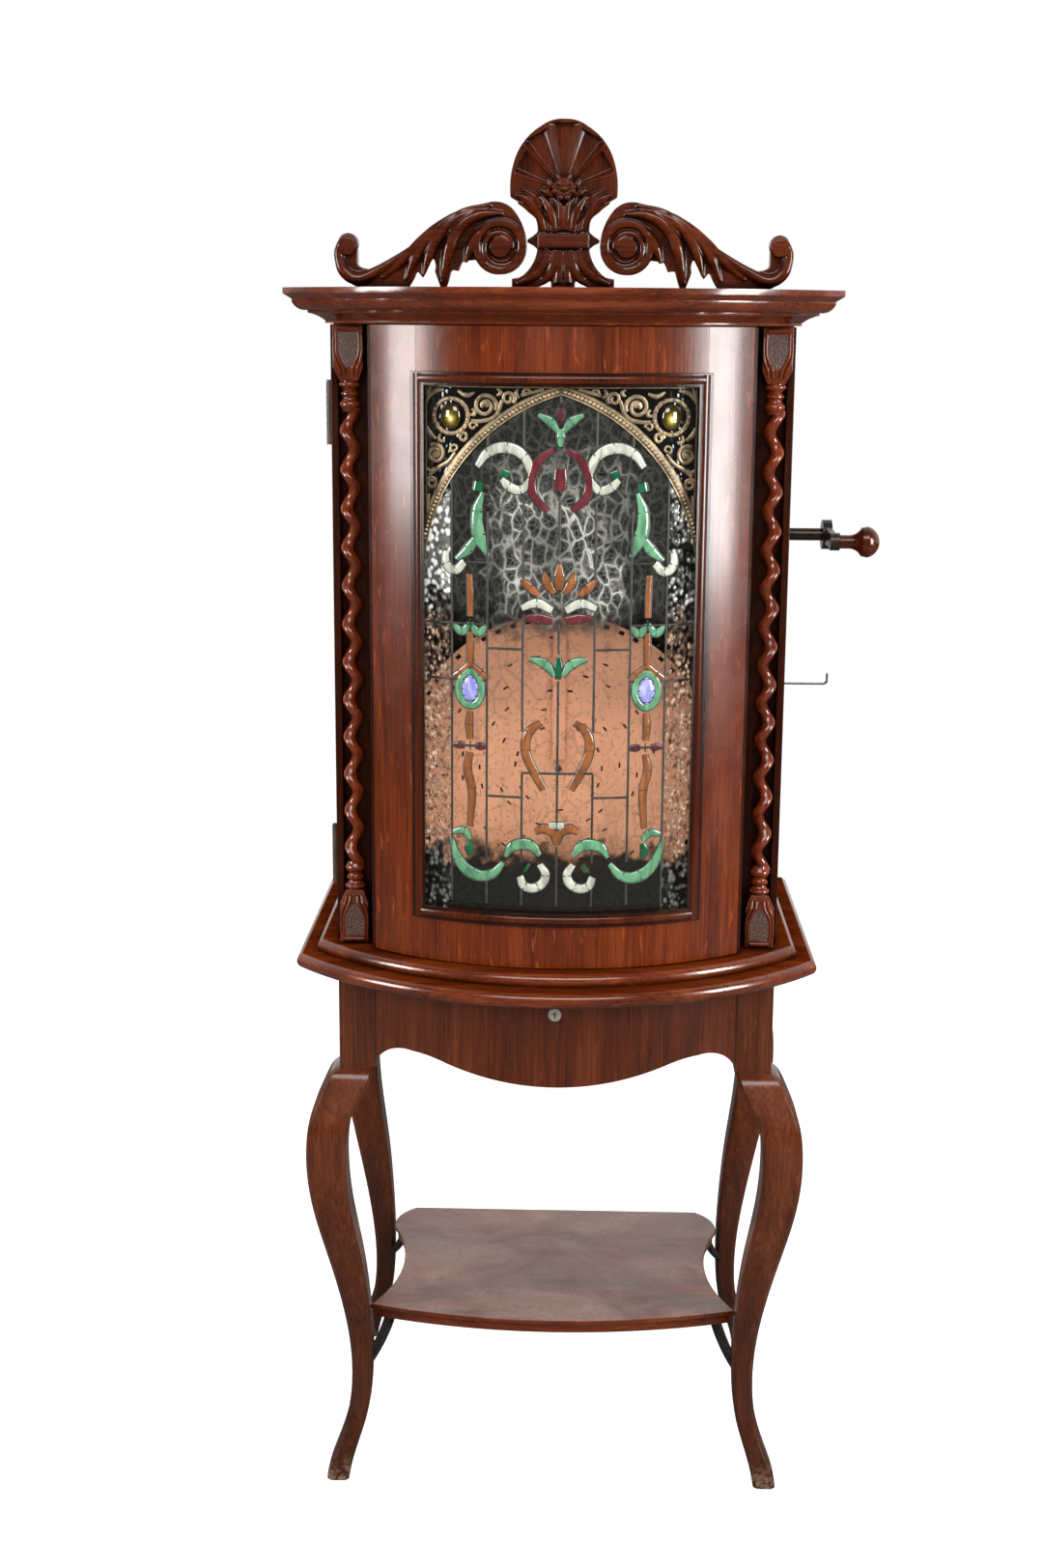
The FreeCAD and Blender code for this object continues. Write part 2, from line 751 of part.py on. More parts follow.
# Mouldings: each edge profile runs round the bow in front and straight along the sides
def moulding(name, edge):
    """Slab whose front follows the bow; edge points are reach beyond the case and height."""
    bow_points = [("0", edge[0][1])]
    right_points = []
    for point in edge:
        reach, height = point[:2]
        bow_points.append(("door_radius + " + reach, height) + tuple(
            text if spot else "door_radius + " + text for spot, text in enumerate(point[2:])))
        right_points.append(("case_half + " + reach, height) + tuple(
            text if spot else "case_half + " + text for spot, text in enumerate(point[2:])))
    bow_points.append(("0", edge[-1][1]))
    left_points = []
    for index in range(len(edge) - 1, -1, -1):
        here = ("-(case_half + %s)" % edge[index][0], edge[index][1])
        after = edge[index + 1][2:] if index + 1 < len(edge) else ()
        if after:
            here += ("-(case_half + %s)" % after[0], after[1])
        left_points.append(here)
    bow_slab = turned(name + "_bow", bow_points, "bow_centre")
    side_profile = place(outline(name + "_sides", right_points + left_points, "front"),
                         y="stand_half")
    side_slab = extrude(name + "_straight", side_profile, Vector(0, -1, 0), "2 * door_radius")
    return piece(name, common(name, bow_slab, side_slab))


def edge_points(word, table, top, last):
    """Profile points of a moulding from its rows in the sheet, measured down from the top."""
    points = []
    for index, row in enumerate(table):
        texts = ["%s_reach_%d" % (word, index), "%s - %s_drop_%d" % (top, word, index)]
        if len(row) == 4:
            texts += ["%s_curve_%d" % (word, index), "%s - %s_curve_drop_%d" % (top, word, index)]
        points.append(tuple(texts))
    return points + [("0", last)]


moulding("base_deck", edge_points("deck", DECK_EDGE, "deck_top", "deck_foot"))
moulding("cornice", edge_points("cornice", CORNICE_EDGE, "cornice_head", "case_head"))

# Case sides, back and top board behind the door
CASE_INSIDE = "case_half - side_thick"
case_side = box("case_side_left", ("-case_half", "-(%s)" % CASE_INSIDE), ("-case_front", "stand_half"),
                ("deck_top", "case_head"))
piece("case_side_left", case_side)
right_wall = mirror("right_wall", case_side, LEFT)
bush_seat = rod("bush_seat", "X", "bush_radius", "3 * side_thick", "case_half - 2 * side_thick",
                z="crank_height")
rod_hole = rod("rod_hole", "X", "rod_radius + bore_play", "3 * side_thick",
               "case_half - 2 * side_thick", z="rod_height")
piece("case_side_right", cut("case_side_right", right_wall, bush_seat, rod_hole))
piece("case_back", box("case_back", ("-(%s)" % CASE_INSIDE, CASE_INSIDE),
                       ("stand_half - back_thick", "stand_half"), ("deck_top", "case_head")))
piece("case_top", box("case_top", ("-(%s)" % CASE_INSIDE, CASE_INSIDE),
                      ("-case_front", "stand_half - back_thick"),
                      ("case_head - top_board", "case_head")))

# Door frame: four boards on the bow
FACE = "door_radius"
BACK_FACE = "door_radius - door_thick"
SEAT_HALF = "window_half + bead_width - bead_lap"
SEAT_FOOT = "window_foot - bead_width + bead_lap"
SEAT_HEAD = "window_head + bead_width - bead_lap"
stile = bowed("stile_right", BACK_FACE, FACE, "door_foot", "door_head", SEAT_HALF, "door_half")
group("door_stiles", stile, mirror("stile_left", stile, LEFT))
group("door_rails", bowed("rail_bottom", BACK_FACE, FACE, "door_foot", SEAT_FOOT,
                          "-(%s)" % SEAT_HALF, SEAT_HALF),
      bowed("rail_top", BACK_FACE, FACE, SEAT_HEAD, "door_head", "-(%s)" % SEAT_HALF, SEAT_HALF))

# Corner posts of the door, hollowed to take the columns
POST_INNER = "door_half - return_wall"
POST_LIP = "case_half - post_lip"
post_plan = outline("post_plan", (
    ("case_half", "-stand_half"),
    ("case_half", "-post_back"),
    (POST_INNER, "-post_back"),
    (POST_INNER, bow_front(BACK_FACE, POST_INNER)),
    ("door_half", bow_front(BACK_FACE, "door_half"), "door_half - return_wall / 2",
     bow_front(BACK_FACE, "door_half - return_wall / 2")),
    ("door_half", bow_front(FACE, "door_half")),
    ("door_half + recess_wall", bow_front(FACE, "door_half + recess_wall")),
    ("door_half + recess_wall", "-recess_back"),
    (POST_LIP, "-recess_back"),
    (POST_LIP, "-stand_half")))
place(post_plan, z="door_foot")
post = extrude("post_right", post_plan, UP, "door_head - door_foot")
group("door_posts", post, mirror("post_left", post, LEFT))

# Column blocks: square, with a tapered point towards the column
def column_block(name, foot, sign):
    """Block standing on foot; sign points its taper up or down."""
    base = [("column_side " + a + " column_block / 2", "-column_front " + b + " column_block / 2")
            for a, b in (("-", "-"), ("+", "-"), ("+", "+"), ("-", "+"))]
    deep = [("column_side " + a + " column_block / 2", "-recess_back" if b == "+" else
             "-column_front - column_block / 2")
            for a, b in (("-", "-"), ("+", "-"), ("+", "+"), ("-", "+"))]
    square = extrude(name + "_square", place(outline(name + "_plan", deep), z=foot),
                     Vector(0, 0, sign), "block_height")
    turn = "%s %s block_height" % (foot, "+" if sign > 0 else "-")
    tip = "%s %s block_taper" % (turn, "+" if sign > 0 else "-")
    small = [(x.replace("column_block / 2", "column_end"), y.replace("column_block / 2", "column_end"))
             for x, y in base]
    taper = doc.addObject("Part::Loft", name + "_taper")
    taper.Sections = [place(outline(name + "_wide", base), z=turn),
                      place(outline(name + "_narrow", small), z=tip)]
    taper.Solid = True
    taper.Ruled = True
    return cut(name, fuse(name + "_whole", square, taper), post)


block_low = column_block("block_low", "door_foot", 1)
block_high = column_block("block_high", "door_head", -1)
group("column_blocks", block_low, block_high, mirror("block_low_left", block_low, LEFT),
      mirror("block_high_left", block_high, LEFT))

# Barley-twist columns: an eight-sided strand carried round its axis, with turned ends
TWIST_STEPS = 8


def flat(corners):
    return Part.Face(Part.makePolygon(corners + corners[:1]))


def twist(side, hand):
    """Strand between the turned ends, leaning round the axis once per pitch."""
    foot = number("door_foot + block_height + block_taper + bead_run")
    head = number("door_head - block_height - block_taper - bead_run")
    turns = (head - foot) / number("column_pitch")
    count = int(round(turns * TWIST_STEPS))
    strand = number("column_strand")
    throw = number("column_throw")
    rounds = []
    for step in range(count + 1):
        lean = hand * 2 * math.pi * turns * step / count
        centre = Vector(side * number("column_side") + throw * math.cos(lean),
                        -number("column_front") + throw * math.sin(lean),
                        foot + (head - foot) * step / count)
        rounds.append([centre + Vector(strand * math.cos(spot), strand * math.sin(spot), 0)
                       for spot in (math.pi / 8 + math.pi / 4 * k for k in range(8))])
    faces = [flat(rounds[0]), flat(rounds[-1])]
    for below, above in zip(rounds, rounds[1:]):
        for k in range(8):
            faces.append(flat([below[k - 1], below[k], above[k], above[k - 1]]))
    return Part.makeSolid(Part.makeShell(faces))


COLUMN_FOOT = "door_foot + block_height + block_taper"
COLUMN_HEAD = "door_head - block_height - block_taper"


def column_end(name, foot, sign):
    """Turned rings between block and twist."""
    step = "%s %s" % (foot, "+" if sign > 0 else "-")
    rings = [("0", foot), ("column_end", foot), ("ring_reach", step + " ring_tall / 2"),
             ("column_end", step + " ring_tall"), ("ring_neck", step + " (ring_tall + 2)"),
             ("ring_neck", step + " (bead_run - ring_tall - 6)"),
             ("column_end", step + " (bead_run - ring_tall - 4)"),
             ("ring_reach", step + " (bead_run - 4)"), ("ring_reach", step + " bead_run"),
             ("0", step + " bead_run")]
    item = turned(name, rings, "-column_front")
    return place(item, "column_side")


def column(name, side, hand):
    strand = doc.addObject("Part::Feature", name + "_twist")
    strand.Shape = twist(side, hand)
    strand.Placement = Placement()
    ends = [column_end(name + "_foot", COLUMN_FOOT, 1), column_end(name + "_head", COLUMN_HEAD, -1)]
    if side < 0:
        for end in ends:
            bind(end, "Placement.Base.x", "-column_side")
    return fuse(name, strand, *ends)


group("columns", column("column_right", 1, 1), column("column_left", -1, -1))

# Window bead: a rebated ring that laps over the face and holds the glass
bead_body = bowed("bead_body", "door_radius - glass_set_back", "door_radius + bead_proud", SEAT_FOOT,
                  SEAT_HEAD, "-(%s)" % SEAT_HALF, SEAT_HALF)
bead_lap = bowed("bead_lap_board", FACE, "door_radius + bead_proud", "window_foot - bead_width",
                 "window_head + bead_width", "-(window_half + bead_width)", "window_half + bead_width")
window_hole = box("window_hole", ("-window_half", "window_half"), ("-2 * door_radius", "bow_centre"),
                  ("window_foot", "window_head"))
piece("window_bead", cut("window_bead", fuse("bead_board", bead_body, bead_lap), window_hole))

# Bowed glass behind the bead, with the pointed band, fretted corners, jewels and lead lines on it
GLASS_FACE = "door_radius - glass_set_back"
piece("glass_panel", bowed("glass_panel", GLASS_FACE + " - glass_thick", GLASS_FACE, SEAT_FOOT,
                           SEAT_HEAD, "-(%s)" % SEAT_HALF, SEAT_HALF))


def arch_line(radius, foot_side):
    """Half arch height above the spring at a distance from the middle."""
    return "arch_spring + sqrt((%s)^2 - (%s + arch_centre)^2)" % (radius, foot_side)


ARCH_OUT = "(window_half + arch_centre)"
ARCH_IN = "(window_half + arch_centre - arch_band)"
MID_OUT = "(window_half / 2)"
MID_IN = "(window_half / 2 - arch_band / 2)"
band_view = outline("band_view", (
    ("window_half", "arch_spring"),
    ("0", arch_line(ARCH_OUT, "0"), MID_OUT, arch_line(ARCH_OUT, MID_OUT)),
    ("-window_half", "arch_spring", "-" + MID_OUT, arch_line(ARCH_OUT, MID_OUT)),
    ("arch_band - window_half", "arch_spring"),
    ("0", arch_line(ARCH_IN, "0"), "-" + MID_IN, arch_line(ARCH_IN, MID_IN)),
    ("window_half - arch_band", "arch_spring", MID_IN, arch_line(ARCH_IN, MID_IN))), "front")
piece("arch_band", bow_plate("arch_band", GLASS_FACE, GLASS_FACE + " + band_thick", "arch_spring",
                             "window_head", band_view))

# Fretted corner: a plate above the arch with round and slotted piercings
fret_edge = outline("fret_edge", (
    ("window_half", "arch_spring + 8", MID_OUT, arch_line(ARCH_OUT, MID_OUT) + " + 0.4"),
    ("window_half", "window_head"),
    ("8", "window_head"),
    ("8", arch_line(ARCH_OUT, "8"))), "front")
fret_plate = bow_plate("fret_plate", GLASS_FACE, GLASS_FACE + " + fret_thick", "arch_spring",
                       "window_head", fret_edge)
piercings = []
for index, (aside, below, radius) in enumerate(FRET_HOLES):
    piercings.append(rod("piercing_%d" % index, "Y", "fret_radius_%d" % index, "2 * door_radius",
                         "window_half - fret_aside_%d" % index, "-2 * door_radius",
                         "window_head - fret_below_%d" % index))
fret_right = cut("fret_right", fret_plate, *piercings)
group("spandrels", fret_right, mirror("fret_left", fret_right, LEFT))

# Glass jewels seated on the fret
dome = turned("jewel_dome", (("0", "0"), ("jewel_radius", "0"),
                             ("0", "jewel_rise", "0.72 * jewel_radius", "0.72 * jewel_rise")))
dome.Placement = Placement(Vector(), Rotation(Vector(0, 0, 1), Vector(0, -1, 0)))
place(dome, "jewel_side", bow_front(GLASS_FACE + " + fret_thick - 0.8", "jewel_side"), "jewel_height")
behind_fret = ring("behind_fret", "1", GLASS_FACE + " + fret_thick", "arch_spring", "window_head")
jewel = cut("jewel_right", dome, behind_fret)
group("jewels", jewel, mirror("jewel_left", jewel, LEFT))

# Lead lines of the glass: upright cames under the arch, tied across by short cames
came_views = []
for count in range(-3, 4):
    left = "%d * came_pitch - came_width / 2" % count
    right = "%d * came_pitch + came_width / 2" % count
    came_views.append(outline("came_%d" % (count + 3), ((left, "window_foot"), (right, "window_foot"),
                                                        (right, "window_head"),
                                                        (left, "window_head")), "front"))
for index, (low_line, left_line, right_line) in enumerate(CAME_TIES):
    for side in (1, -1):
        ends = sorted((side * left_line, side * right_line))
        low = "came_tie_%d" % index
        came_views.append(outline("tie_%d_%d" % (index, side), (
            ("%d * came_pitch" % ends[0], low), ("%d * came_pitch" % ends[1], low),
            ("%d * came_pitch" % ends[1], low + " + came_width"),
            ("%d * came_pitch" % ends[0], low + " + came_width")), "front"))
came_lattice = bow_plate("came_lattice", GLASS_FACE, GLASS_FACE + " + came_proud", "window_foot",
                         "window_head", *came_views)
under_arch = outline("under_arch", (
    ("window_half - arch_band", "arch_spring"),
    ("0", arch_line(ARCH_IN, "0"), MID_IN, arch_line(ARCH_IN, MID_IN)),
    ("arch_band - window_half", "arch_spring", "-" + MID_IN, arch_line(ARCH_IN, MID_IN)),
    ("-window_half", "arch_spring"), ("-window_half", "window_foot"),
    ("window_half", "window_foot"), ("window_half", "arch_spring")), "front")
place(under_arch, y="bow_centre")
piece("glass_cames", common("glass_cames", came_lattice,
                            extrude("under_arch_view", under_arch, Vector(0, -1, 0),
                                    "2 * door_radius")))

# Door hinges: five knuckles on one pin, leaves let into the joint behind the left post
KNUCKLE_STEP = "((hinge_height + knuckle_gap) / 5)"


def hinge_leaves(name, turns, back, front):
    """Leaf plates between two Y planes with their knuckles, for both hinges."""
    hinges = []
    for spot, level in enumerate(("hinge_low", "hinge_high")):
        foot = "(%s - hinge_height / 2)" % level
        parts = [box("%s_plate_%d" % (name, spot), ("-case_half", "leaf_reach - case_half"),
                     (front, back), (foot, foot + " + hinge_height"))]
        for turn in turns:
            low = "%s + %d * %s" % (foot, turn, KNUCKLE_STEP)
            tall = "%s - knuckle_gap" % KNUCKLE_STEP
            parts.append(rod("%s_knuckle_%d_%d" % (name, spot, turn), "Z", "hinge_knuckle", tall,
                             "-hinge_side", "-hinge_front", low))
            parts.append(box("%s_tab_%d_%d" % (name, spot, turn), ("-hinge_side", "-case_half"),
                             (front, back), (low, "%s + %s" % (low, tall))))
        eye = rod("%s_eye_%d" % (name, spot), "Z", "hinge_pin + pin_play", "hinge_height + 2",
                  "-hinge_side", "-hinge_front", foot + " - 1")
        hinges.append(cut("%s_%d" % (name, spot), fuse("%s_blank_%d" % (name, spot), *parts), eye))
    group(name, *hinges)


hinge_leaves("hinge_case_leaves", (0, 2, 4), "-case_front", "-case_front - hinge_leaf")
hinge_leaves("hinge_door_leaves", (1, 3), "hinge_leaf - post_back", "-post_back")
pins = []
for spot, level in enumerate(("hinge_low", "hinge_high")):
    foot = "%s - hinge_height / 2" % level
    pins.append(fuse("pin_%d" % spot,
                     rod("pin_shank_%d" % spot, "Z", "hinge_pin", "hinge_height + 1", "-hinge_side",
                         "-hinge_front", foot),
                     rod("pin_head_%d" % spot, "Z", "hinge_knuckle - 0.5", "2", "-hinge_side",
                         "-hinge_front", foot + " + hinge_height + knuckle_gap")))
group("hinge_pins", *pins)

# Drawer: bowed front with a wave-cut foot, open tray and barrel lock
APRON_BACK = "apron_radius - apron_thick"
APRON_HALF = "(case_half - leg_block - apron_side_gap)"
BELLY = "((apron_arch_place^2 + (apron_arch_head - apron_centre_foot)^2) / " \
        "(2 * (apron_arch_head - apron_centre_foot)) - arch_inner_radius)"
REACH_OUT = "(%s + arch_inner_radius)" % BELLY
JOIN_SIDE = "(apron_arch_place * %s / %s)" % (BELLY, REACH_OUT)
JOIN_FOOT = "(apron_centre_foot + %s - sqrt(%s^2 - %s^2))" % (BELLY, BELLY, JOIN_SIDE)
CREST_MID = "((%s + apron_arch_place) / 2)" % JOIN_SIDE
CREST_MID_FOOT = "(apron_arch_head - arch_inner_radius + sqrt(arch_inner_radius^2 - " \
                 "(apron_arch_place - %s)^2))" % CREST_MID
END_MID = "(apron_arch_place + 0.72 * (%s - apron_arch_place))" % APRON_HALF
END_MID_FOOT = "(apron_end_foot + 0.66 * (apron_arch_head - apron_end_foot))"
right_wave = [
    (JOIN_SIDE, JOIN_FOOT, "0", "apron_centre_foot"),
    ("apron_arch_place", "apron_arch_head", CREST_MID, CREST_MID_FOOT),
    (APRON_HALF, "apron_end_foot", END_MID, END_MID_FOOT)]
apron_view = outline("apron_view", right_wave + [
    (APRON_HALF, "apron_head"),
    ("-" + APRON_HALF, "apron_head"),
    ("-" + APRON_HALF, "apron_end_foot"),
    ("-apron_arch_place", "apron_arch_head", "-" + END_MID, END_MID_FOOT),
    ("-" + JOIN_SIDE, JOIN_FOOT, "-" + CREST_MID, CREST_MID_FOOT)], "front")
apron_board = bow_plate("apron_board", APRON_BACK, "apron_radius", "apron_centre_foot - leg_block",
                        "apron_head", apron_view)
LOCK_FRONT = "(bow_centre - apron_radius - lock_proud)"
lock_seat = rod("lock_seat", "Y", "lock_radius", "apron_thick + 2 * lock_proud", "0", LOCK_FRONT,
                "lock_height")
piece("drawer_front", cut("drawer_front", apron_board, lock_seat))
lock_body = rod("lock_body", "Y", "lock_radius", "apron_thick + lock_proud", "0", LOCK_FRONT,
                "lock_height")
keyway = fuse("keyway", rod("key_eye", "Y", "1.8", "lock_radius", "0", LOCK_FRONT, "lock_height + 1.5"),
              box("key_slot", ("-0.9", "0.9"), (LOCK_FRONT, LOCK_FRONT + " + lock_radius"),
                  ("lock_height - 4.5", "lock_height + 1.5")))
piece("drawer_lock", cut("drawer_lock", lock_body, keyway))
tray_round = rod("tray_round", "Z", APRON_BACK, "tray_head - tray_foot", "0", "bow_centre", "tray_foot")
tray_block = box("tray_block", ("-tray_half", "tray_half"), ("-door_radius", "tray_back"),
                 ("tray_foot", "tray_head"))
hollow_round = rod("hollow_round", "Z", APRON_BACK + " - tray_wall", "tray_head - tray_foot", "0",
                   "bow_centre", "tray_foot + tray_floor")
hollow_block = box("hollow_block", ("tray_wall - tray_half", "tray_half - tray_wall"),
                   ("-door_radius", "tray_back - tray_wall"),
                   ("tray_foot + tray_floor", "tray_head + tray_floor"))
piece("drawer_tray", cut("drawer_tray", common("tray_outer", tray_round, tray_block),
                         common("tray_hollow", hollow_round, hollow_block)))

# Crest: shell, stem and two scroll arms standing on the cornice
CREST_BACK = "crest_thick - crest_front"


def carved(name, points, foot=CREST_BACK, thick="crest_thick"):
    """Board of the crest from its front view, x and height above the cornice in the sheet."""
    view = place(outline(name + "_view", points, "front"), y=foot)
    return extrude(name + "_board", view, Vector(0, -1, 0), thick)


def crest_points(word, table):
    points = []
    for index, row in enumerate(table):
        texts = ["%s_x_%d" % (word, index), "cornice_head + %s_z_%d" % (word, index)]
        if len(row) == 4:
            texts += ["%s_mx_%d" % (word, index), "cornice_head + %s_mz_%d" % (word, index)]
        points.append(tuple(texts))
    return points


def both_sides(points):
    """Right half from top to foot, then the left half back up."""
    left = []
    for index in range(len(points) - 1, -1, -1):
        here = ("-(%s)" % points[index][0], points[index][1])
        after = points[index + 1][2:] if index + 1 < len(points) else ()
        if after:
            here += ("-(%s)" % after[0], after[1])
        left.append(here)
    if abs(number(points[0][0])) < 1e-6:
        closing = left.pop()
        return [points[0][:2] + closing[2:]] + points[1:] + left
    return points + left


scroll_points = crest_points("scroll", SCROLL_EDGE)
scroll_board = carved("scroll", scroll_points, CREST_BACK, "scroll_thick")
volute_rim = rod("volute_rim", "Y", "volute_radius", "crest_thick", "volute_side", "-crest_front",
                 "cornice_head + volute_rise")
volute_groove = cut("volute_groove", rod("groove_outer", "Y", "volute_radius - groove_reveal",
                                         "groove_deep", "volute_side", "-crest_front",
                                         "cornice_head + volute_rise"),
                    rod("groove_inner", "Y", "volute_eye", "groove_deep", "volute_side",
                        "-crest_front", "cornice_head + volute_rise"))
end_curl = rod("end_curl", "Y", "curl_radius", "crest_thick", "curl_side", "-crest_front",
               "cornice_head + curl_rise")
scroll = cut("scroll_right", fuse("scroll_whole", scroll_board, volute_rim, end_curl), volute_groove)
group("crest_scrolls", scroll, mirror("scroll_left", scroll, LEFT))

# Stem: flares above and below a cross band whose points touch the volutes
stem_board = carved("stem", both_sides(crest_points("stem", STEM_EDGE)), CREST_BACK, "scroll_thick")
stem_band = box("stem_band", ("-band_half", "band_half"), ("-crest_front", CREST_BACK),
                ("cornice_head + band_foot", "cornice_head + band_head"))
stem_slots = [carved("slot_%d" % side, [("%d * slot_x" % side, "cornice_head"),
                                        ("%d * (slot_x + slot_wide)" % side, "cornice_head"),
                                        ("%d * (slot_x + 0.7 * slot_wide)" % side,
                                         "cornice_head + slot_tall"),
                                        ("%d * slot_x" % side, "cornice_head + 0.6 * slot_tall")])
              for side in (1, -1)]
piece("crest_stem", cut("crest_stem", fuse("stem_whole", stem_board, stem_band), *stem_slots))

# Shell: a board with five hollow flutes that spread from the hub, and a round knot on the hub
SHELL_HUB = "cornice_head + hub_rise"
shell_board = carved("shell", both_sides(crest_points("shell", SHELL_EDGE)), CREST_BACK,
                     "scroll_thick")
flutes = []
for index in range(-FLUTES_ASIDE, FLUTES_ASIDE + 1):
    count = index + FLUTES_ASIDE
    sections = []
    for end in ("flute_start", "flute_long_%d" % abs(index)):
        hollow = [("%s * %s * flute_half" % (across, end), "%s * %s * flute_deep" % (deep, end))
                  for across, deep in (("-1", "-1"), ("-1", "0"), ("-0.6", "1"), ("0.6", "1"),
                                       ("1", "0"), ("1", "-1"))]
        sections.append(place(outline("flute_%d_%s" % (count, end), hollow), z=end))
    flute = doc.addObject("Part::Loft", "flute_%d" % count)
    flute.Sections = sections
    flute.Solid = True
    flute.Ruled = True
    flute.Placement = Placement(Vector(), Rotation(Vector(0, 1, 0), 1))
    bind(flute, "Placement.Rotation.Angle", "%d * flute_spread" % index)
    flutes.append(place(flute, "0", CREST_BACK + " - scroll_thick", SHELL_HUB))
shell_flutes = cut("shell_fluted", shell_board, *flutes)
hub_knot = rod("hub_knot", "Y", "hub_radius", "crest_thick", "0", "-crest_front", SHELL_HUB)
piece("crest_shell", fuse("crest_shell", shell_flutes, hub_knot))

# Bedplate on two bearers that run between the case sides
bed_board = box("bed_board", ("-bedplate_left", "bedplate_right"),
                ("-bedplate_front", "bedplate_thick - bedplate_front"),
                ("bedplate_foot", "bedplate_head"))
BED_BACK = "bedplate_thick - bedplate_front"
bearer_low = box("bearer_low", ("-(%s)" % CASE_INSIDE, CASE_INSIDE), (BED_BACK, BED_BACK + " + bearer_deep"),
                 ("bedplate_foot", "bedplate_foot + bearer_deep"))
bearer_high = box("bearer_high", ("-(%s)" % CASE_INSIDE, CASE_INSIDE), (BED_BACK, BED_BACK + " + bearer_deep"),
                  ("bedplate_head - bearer_deep", "bedplate_head"))
group("bearers", bearer_low, bearer_high)

# Tune disc on its centre post: holes near the rim take the drive pins, slots carry the tune
DISC_BACK = "disc_thick - disc_front"
piece("centre_post", fuse("centre_post",
                          rod("post_shank", "Y", "post_radius", "disc_front + post_end - bedplate_front",
                              "0", "-disc_front - post_end", "disc_height"),
                          rod("post_collar", "Y", "2 * post_radius",
                              "disc_front - disc_thick - seat_play - bedplate_front", "0",
                              DISC_BACK + " + seat_play", "disc_height")))


def tune_disc():
    """Disc with its bore, drive holes and tune slots, punched through."""
    centre = Vector(0, -number("disc_front"), number("disc_height"))
    thick = number("disc_thick")
    along = Vector(0, 1, 0)
    blank = Part.makeCylinder(number("disc_radius"), thick, centre, along)
    tools = [Part.makeCylinder(number("post_radius + bore_play"), thick, centre, along)]

    def punch(radius, bearing, long, wide):
        hole = Part.makeBox(wide, thick, long, Vector(radius - wide / 2, 0, -long / 2))
        hole.rotate(Vector(), along, -bearing)
        hole.translate(centre)
        tools.append(hole)

    holes = int(number("rim_holes"))
    for count in range(holes):
        punch(number("rim_hole_radius"), 360.0 * count / holes, number("rim_hole_long"),
              number("rim_hole_wide"))
    rows = int(number("tune_rows"))
    repeats = int(number("tune_repeats"))
    for row in range(rows):
        radius = number("tune_inner") + row * number("tune_step")
        for count in range(repeats):
            bearing = 360.0 * (count + 0.37 * ((5 * row + 3 * count) % 7)) / repeats
            punch(radius, bearing, number("tune_long"), number("tune_wide"))
    return blank.cut(tools)


solid("disc", tune_disc())


# Star wheels on a fixed upright arbor between two brackets, behind the disc
def prism(points, axis, length):
    """Straight prism from a closed line of corner points."""
    return flat(points).extrude(axis * length)


STAR_LINE = "(disc_front - disc_thick - star_disc_gap - star_radius)"


def star_wheels():
    tips = int(number("star_points"))
    radius = number("star_radius")
    thick = number("star_thick")
    wheels = []
    for count in range(int(number("star_count"))):
        foot = Vector(0, -number(STAR_LINE), number("star_first") + count * number("star_pitch"))
        corners = []
        for step in range(2 * tips):
            reach = radius if step % 2 == 0 else number("star_root")
            spot = math.pi * step / tips
            corners.append(foot + Vector(reach * math.cos(spot), reach * math.sin(spot), 0))
        way = number("star_arbor + bore_play") / math.cos(math.pi / 8)
        bore = [foot + Vector(way * math.cos(spot), way * math.sin(spot), 0)
                for spot in (math.pi / 4 * k for k in range(8))]
        wheels.append(prism(corners, UP, thick).cut(prism(bore, UP, thick)))
    return Part.makeCompound(wheels)


solid("star_wheels", star_wheels())
STAR_TOP = "(star_first + (star_count - 1) * star_pitch + star_thick)"
star_brackets = []
for name, low in (("star_foot", "star_first - 2 * star_thick - 3"), ("star_head", STAR_TOP + " + 3")):
    star_brackets.append(box(name, ("-star_radius / 2", "star_radius / 2"),
                             ("-%s - star_radius / 2" % STAR_LINE, "-bedplate_front"),
                             (low, low + " + 2 * star_thick")))
piece("star_arbor", fuse("star_arbor", rod("star_spindle", "Z", "star_arbor",
                                           "%s - star_first + 6" % STAR_TOP, "0", "-" + STAR_LINE,
                                           "star_first - 3"), *star_brackets))


# Two combs face the star wheels, each tooth at the height of one wheel
def comb():
    """Steel plate with tuned teeth that shorten towards the head."""
    count = int(number("star_count"))
    tip = number("star_radius + comb_gap")
    back = -number(STAR_LINE) + number("comb_thick") / 2
    edge = []
    for place_in_row in range(count):
        share = place_in_row / (count - 1)
        root = tip + number("comb_long") * (1 - share) + number("comb_short") * share
        middle = number("star_first + star_thick / 2") + place_in_row * number("star_pitch")
        half = number("comb_tooth") / 2
        edge += [(root, middle - half), (tip, middle - half), (tip, middle + half),
                 (root, middle + half)]
    foot = number("star_first") - number("comb_tooth")
    head = edge[-1][1] + number("comb_tooth")
    spine = number("comb_spine")
    edge = [(edge[0][0], foot)] + edge + [(edge[-1][0], head), (edge[-1][0] + spine, head),
                                          (edge[0][0] + spine, foot)]
    corners = [Vector(x, back, z) for x, z in edge]
    return prism(corners, Vector(0, -1, 0), number("comb_thick"))


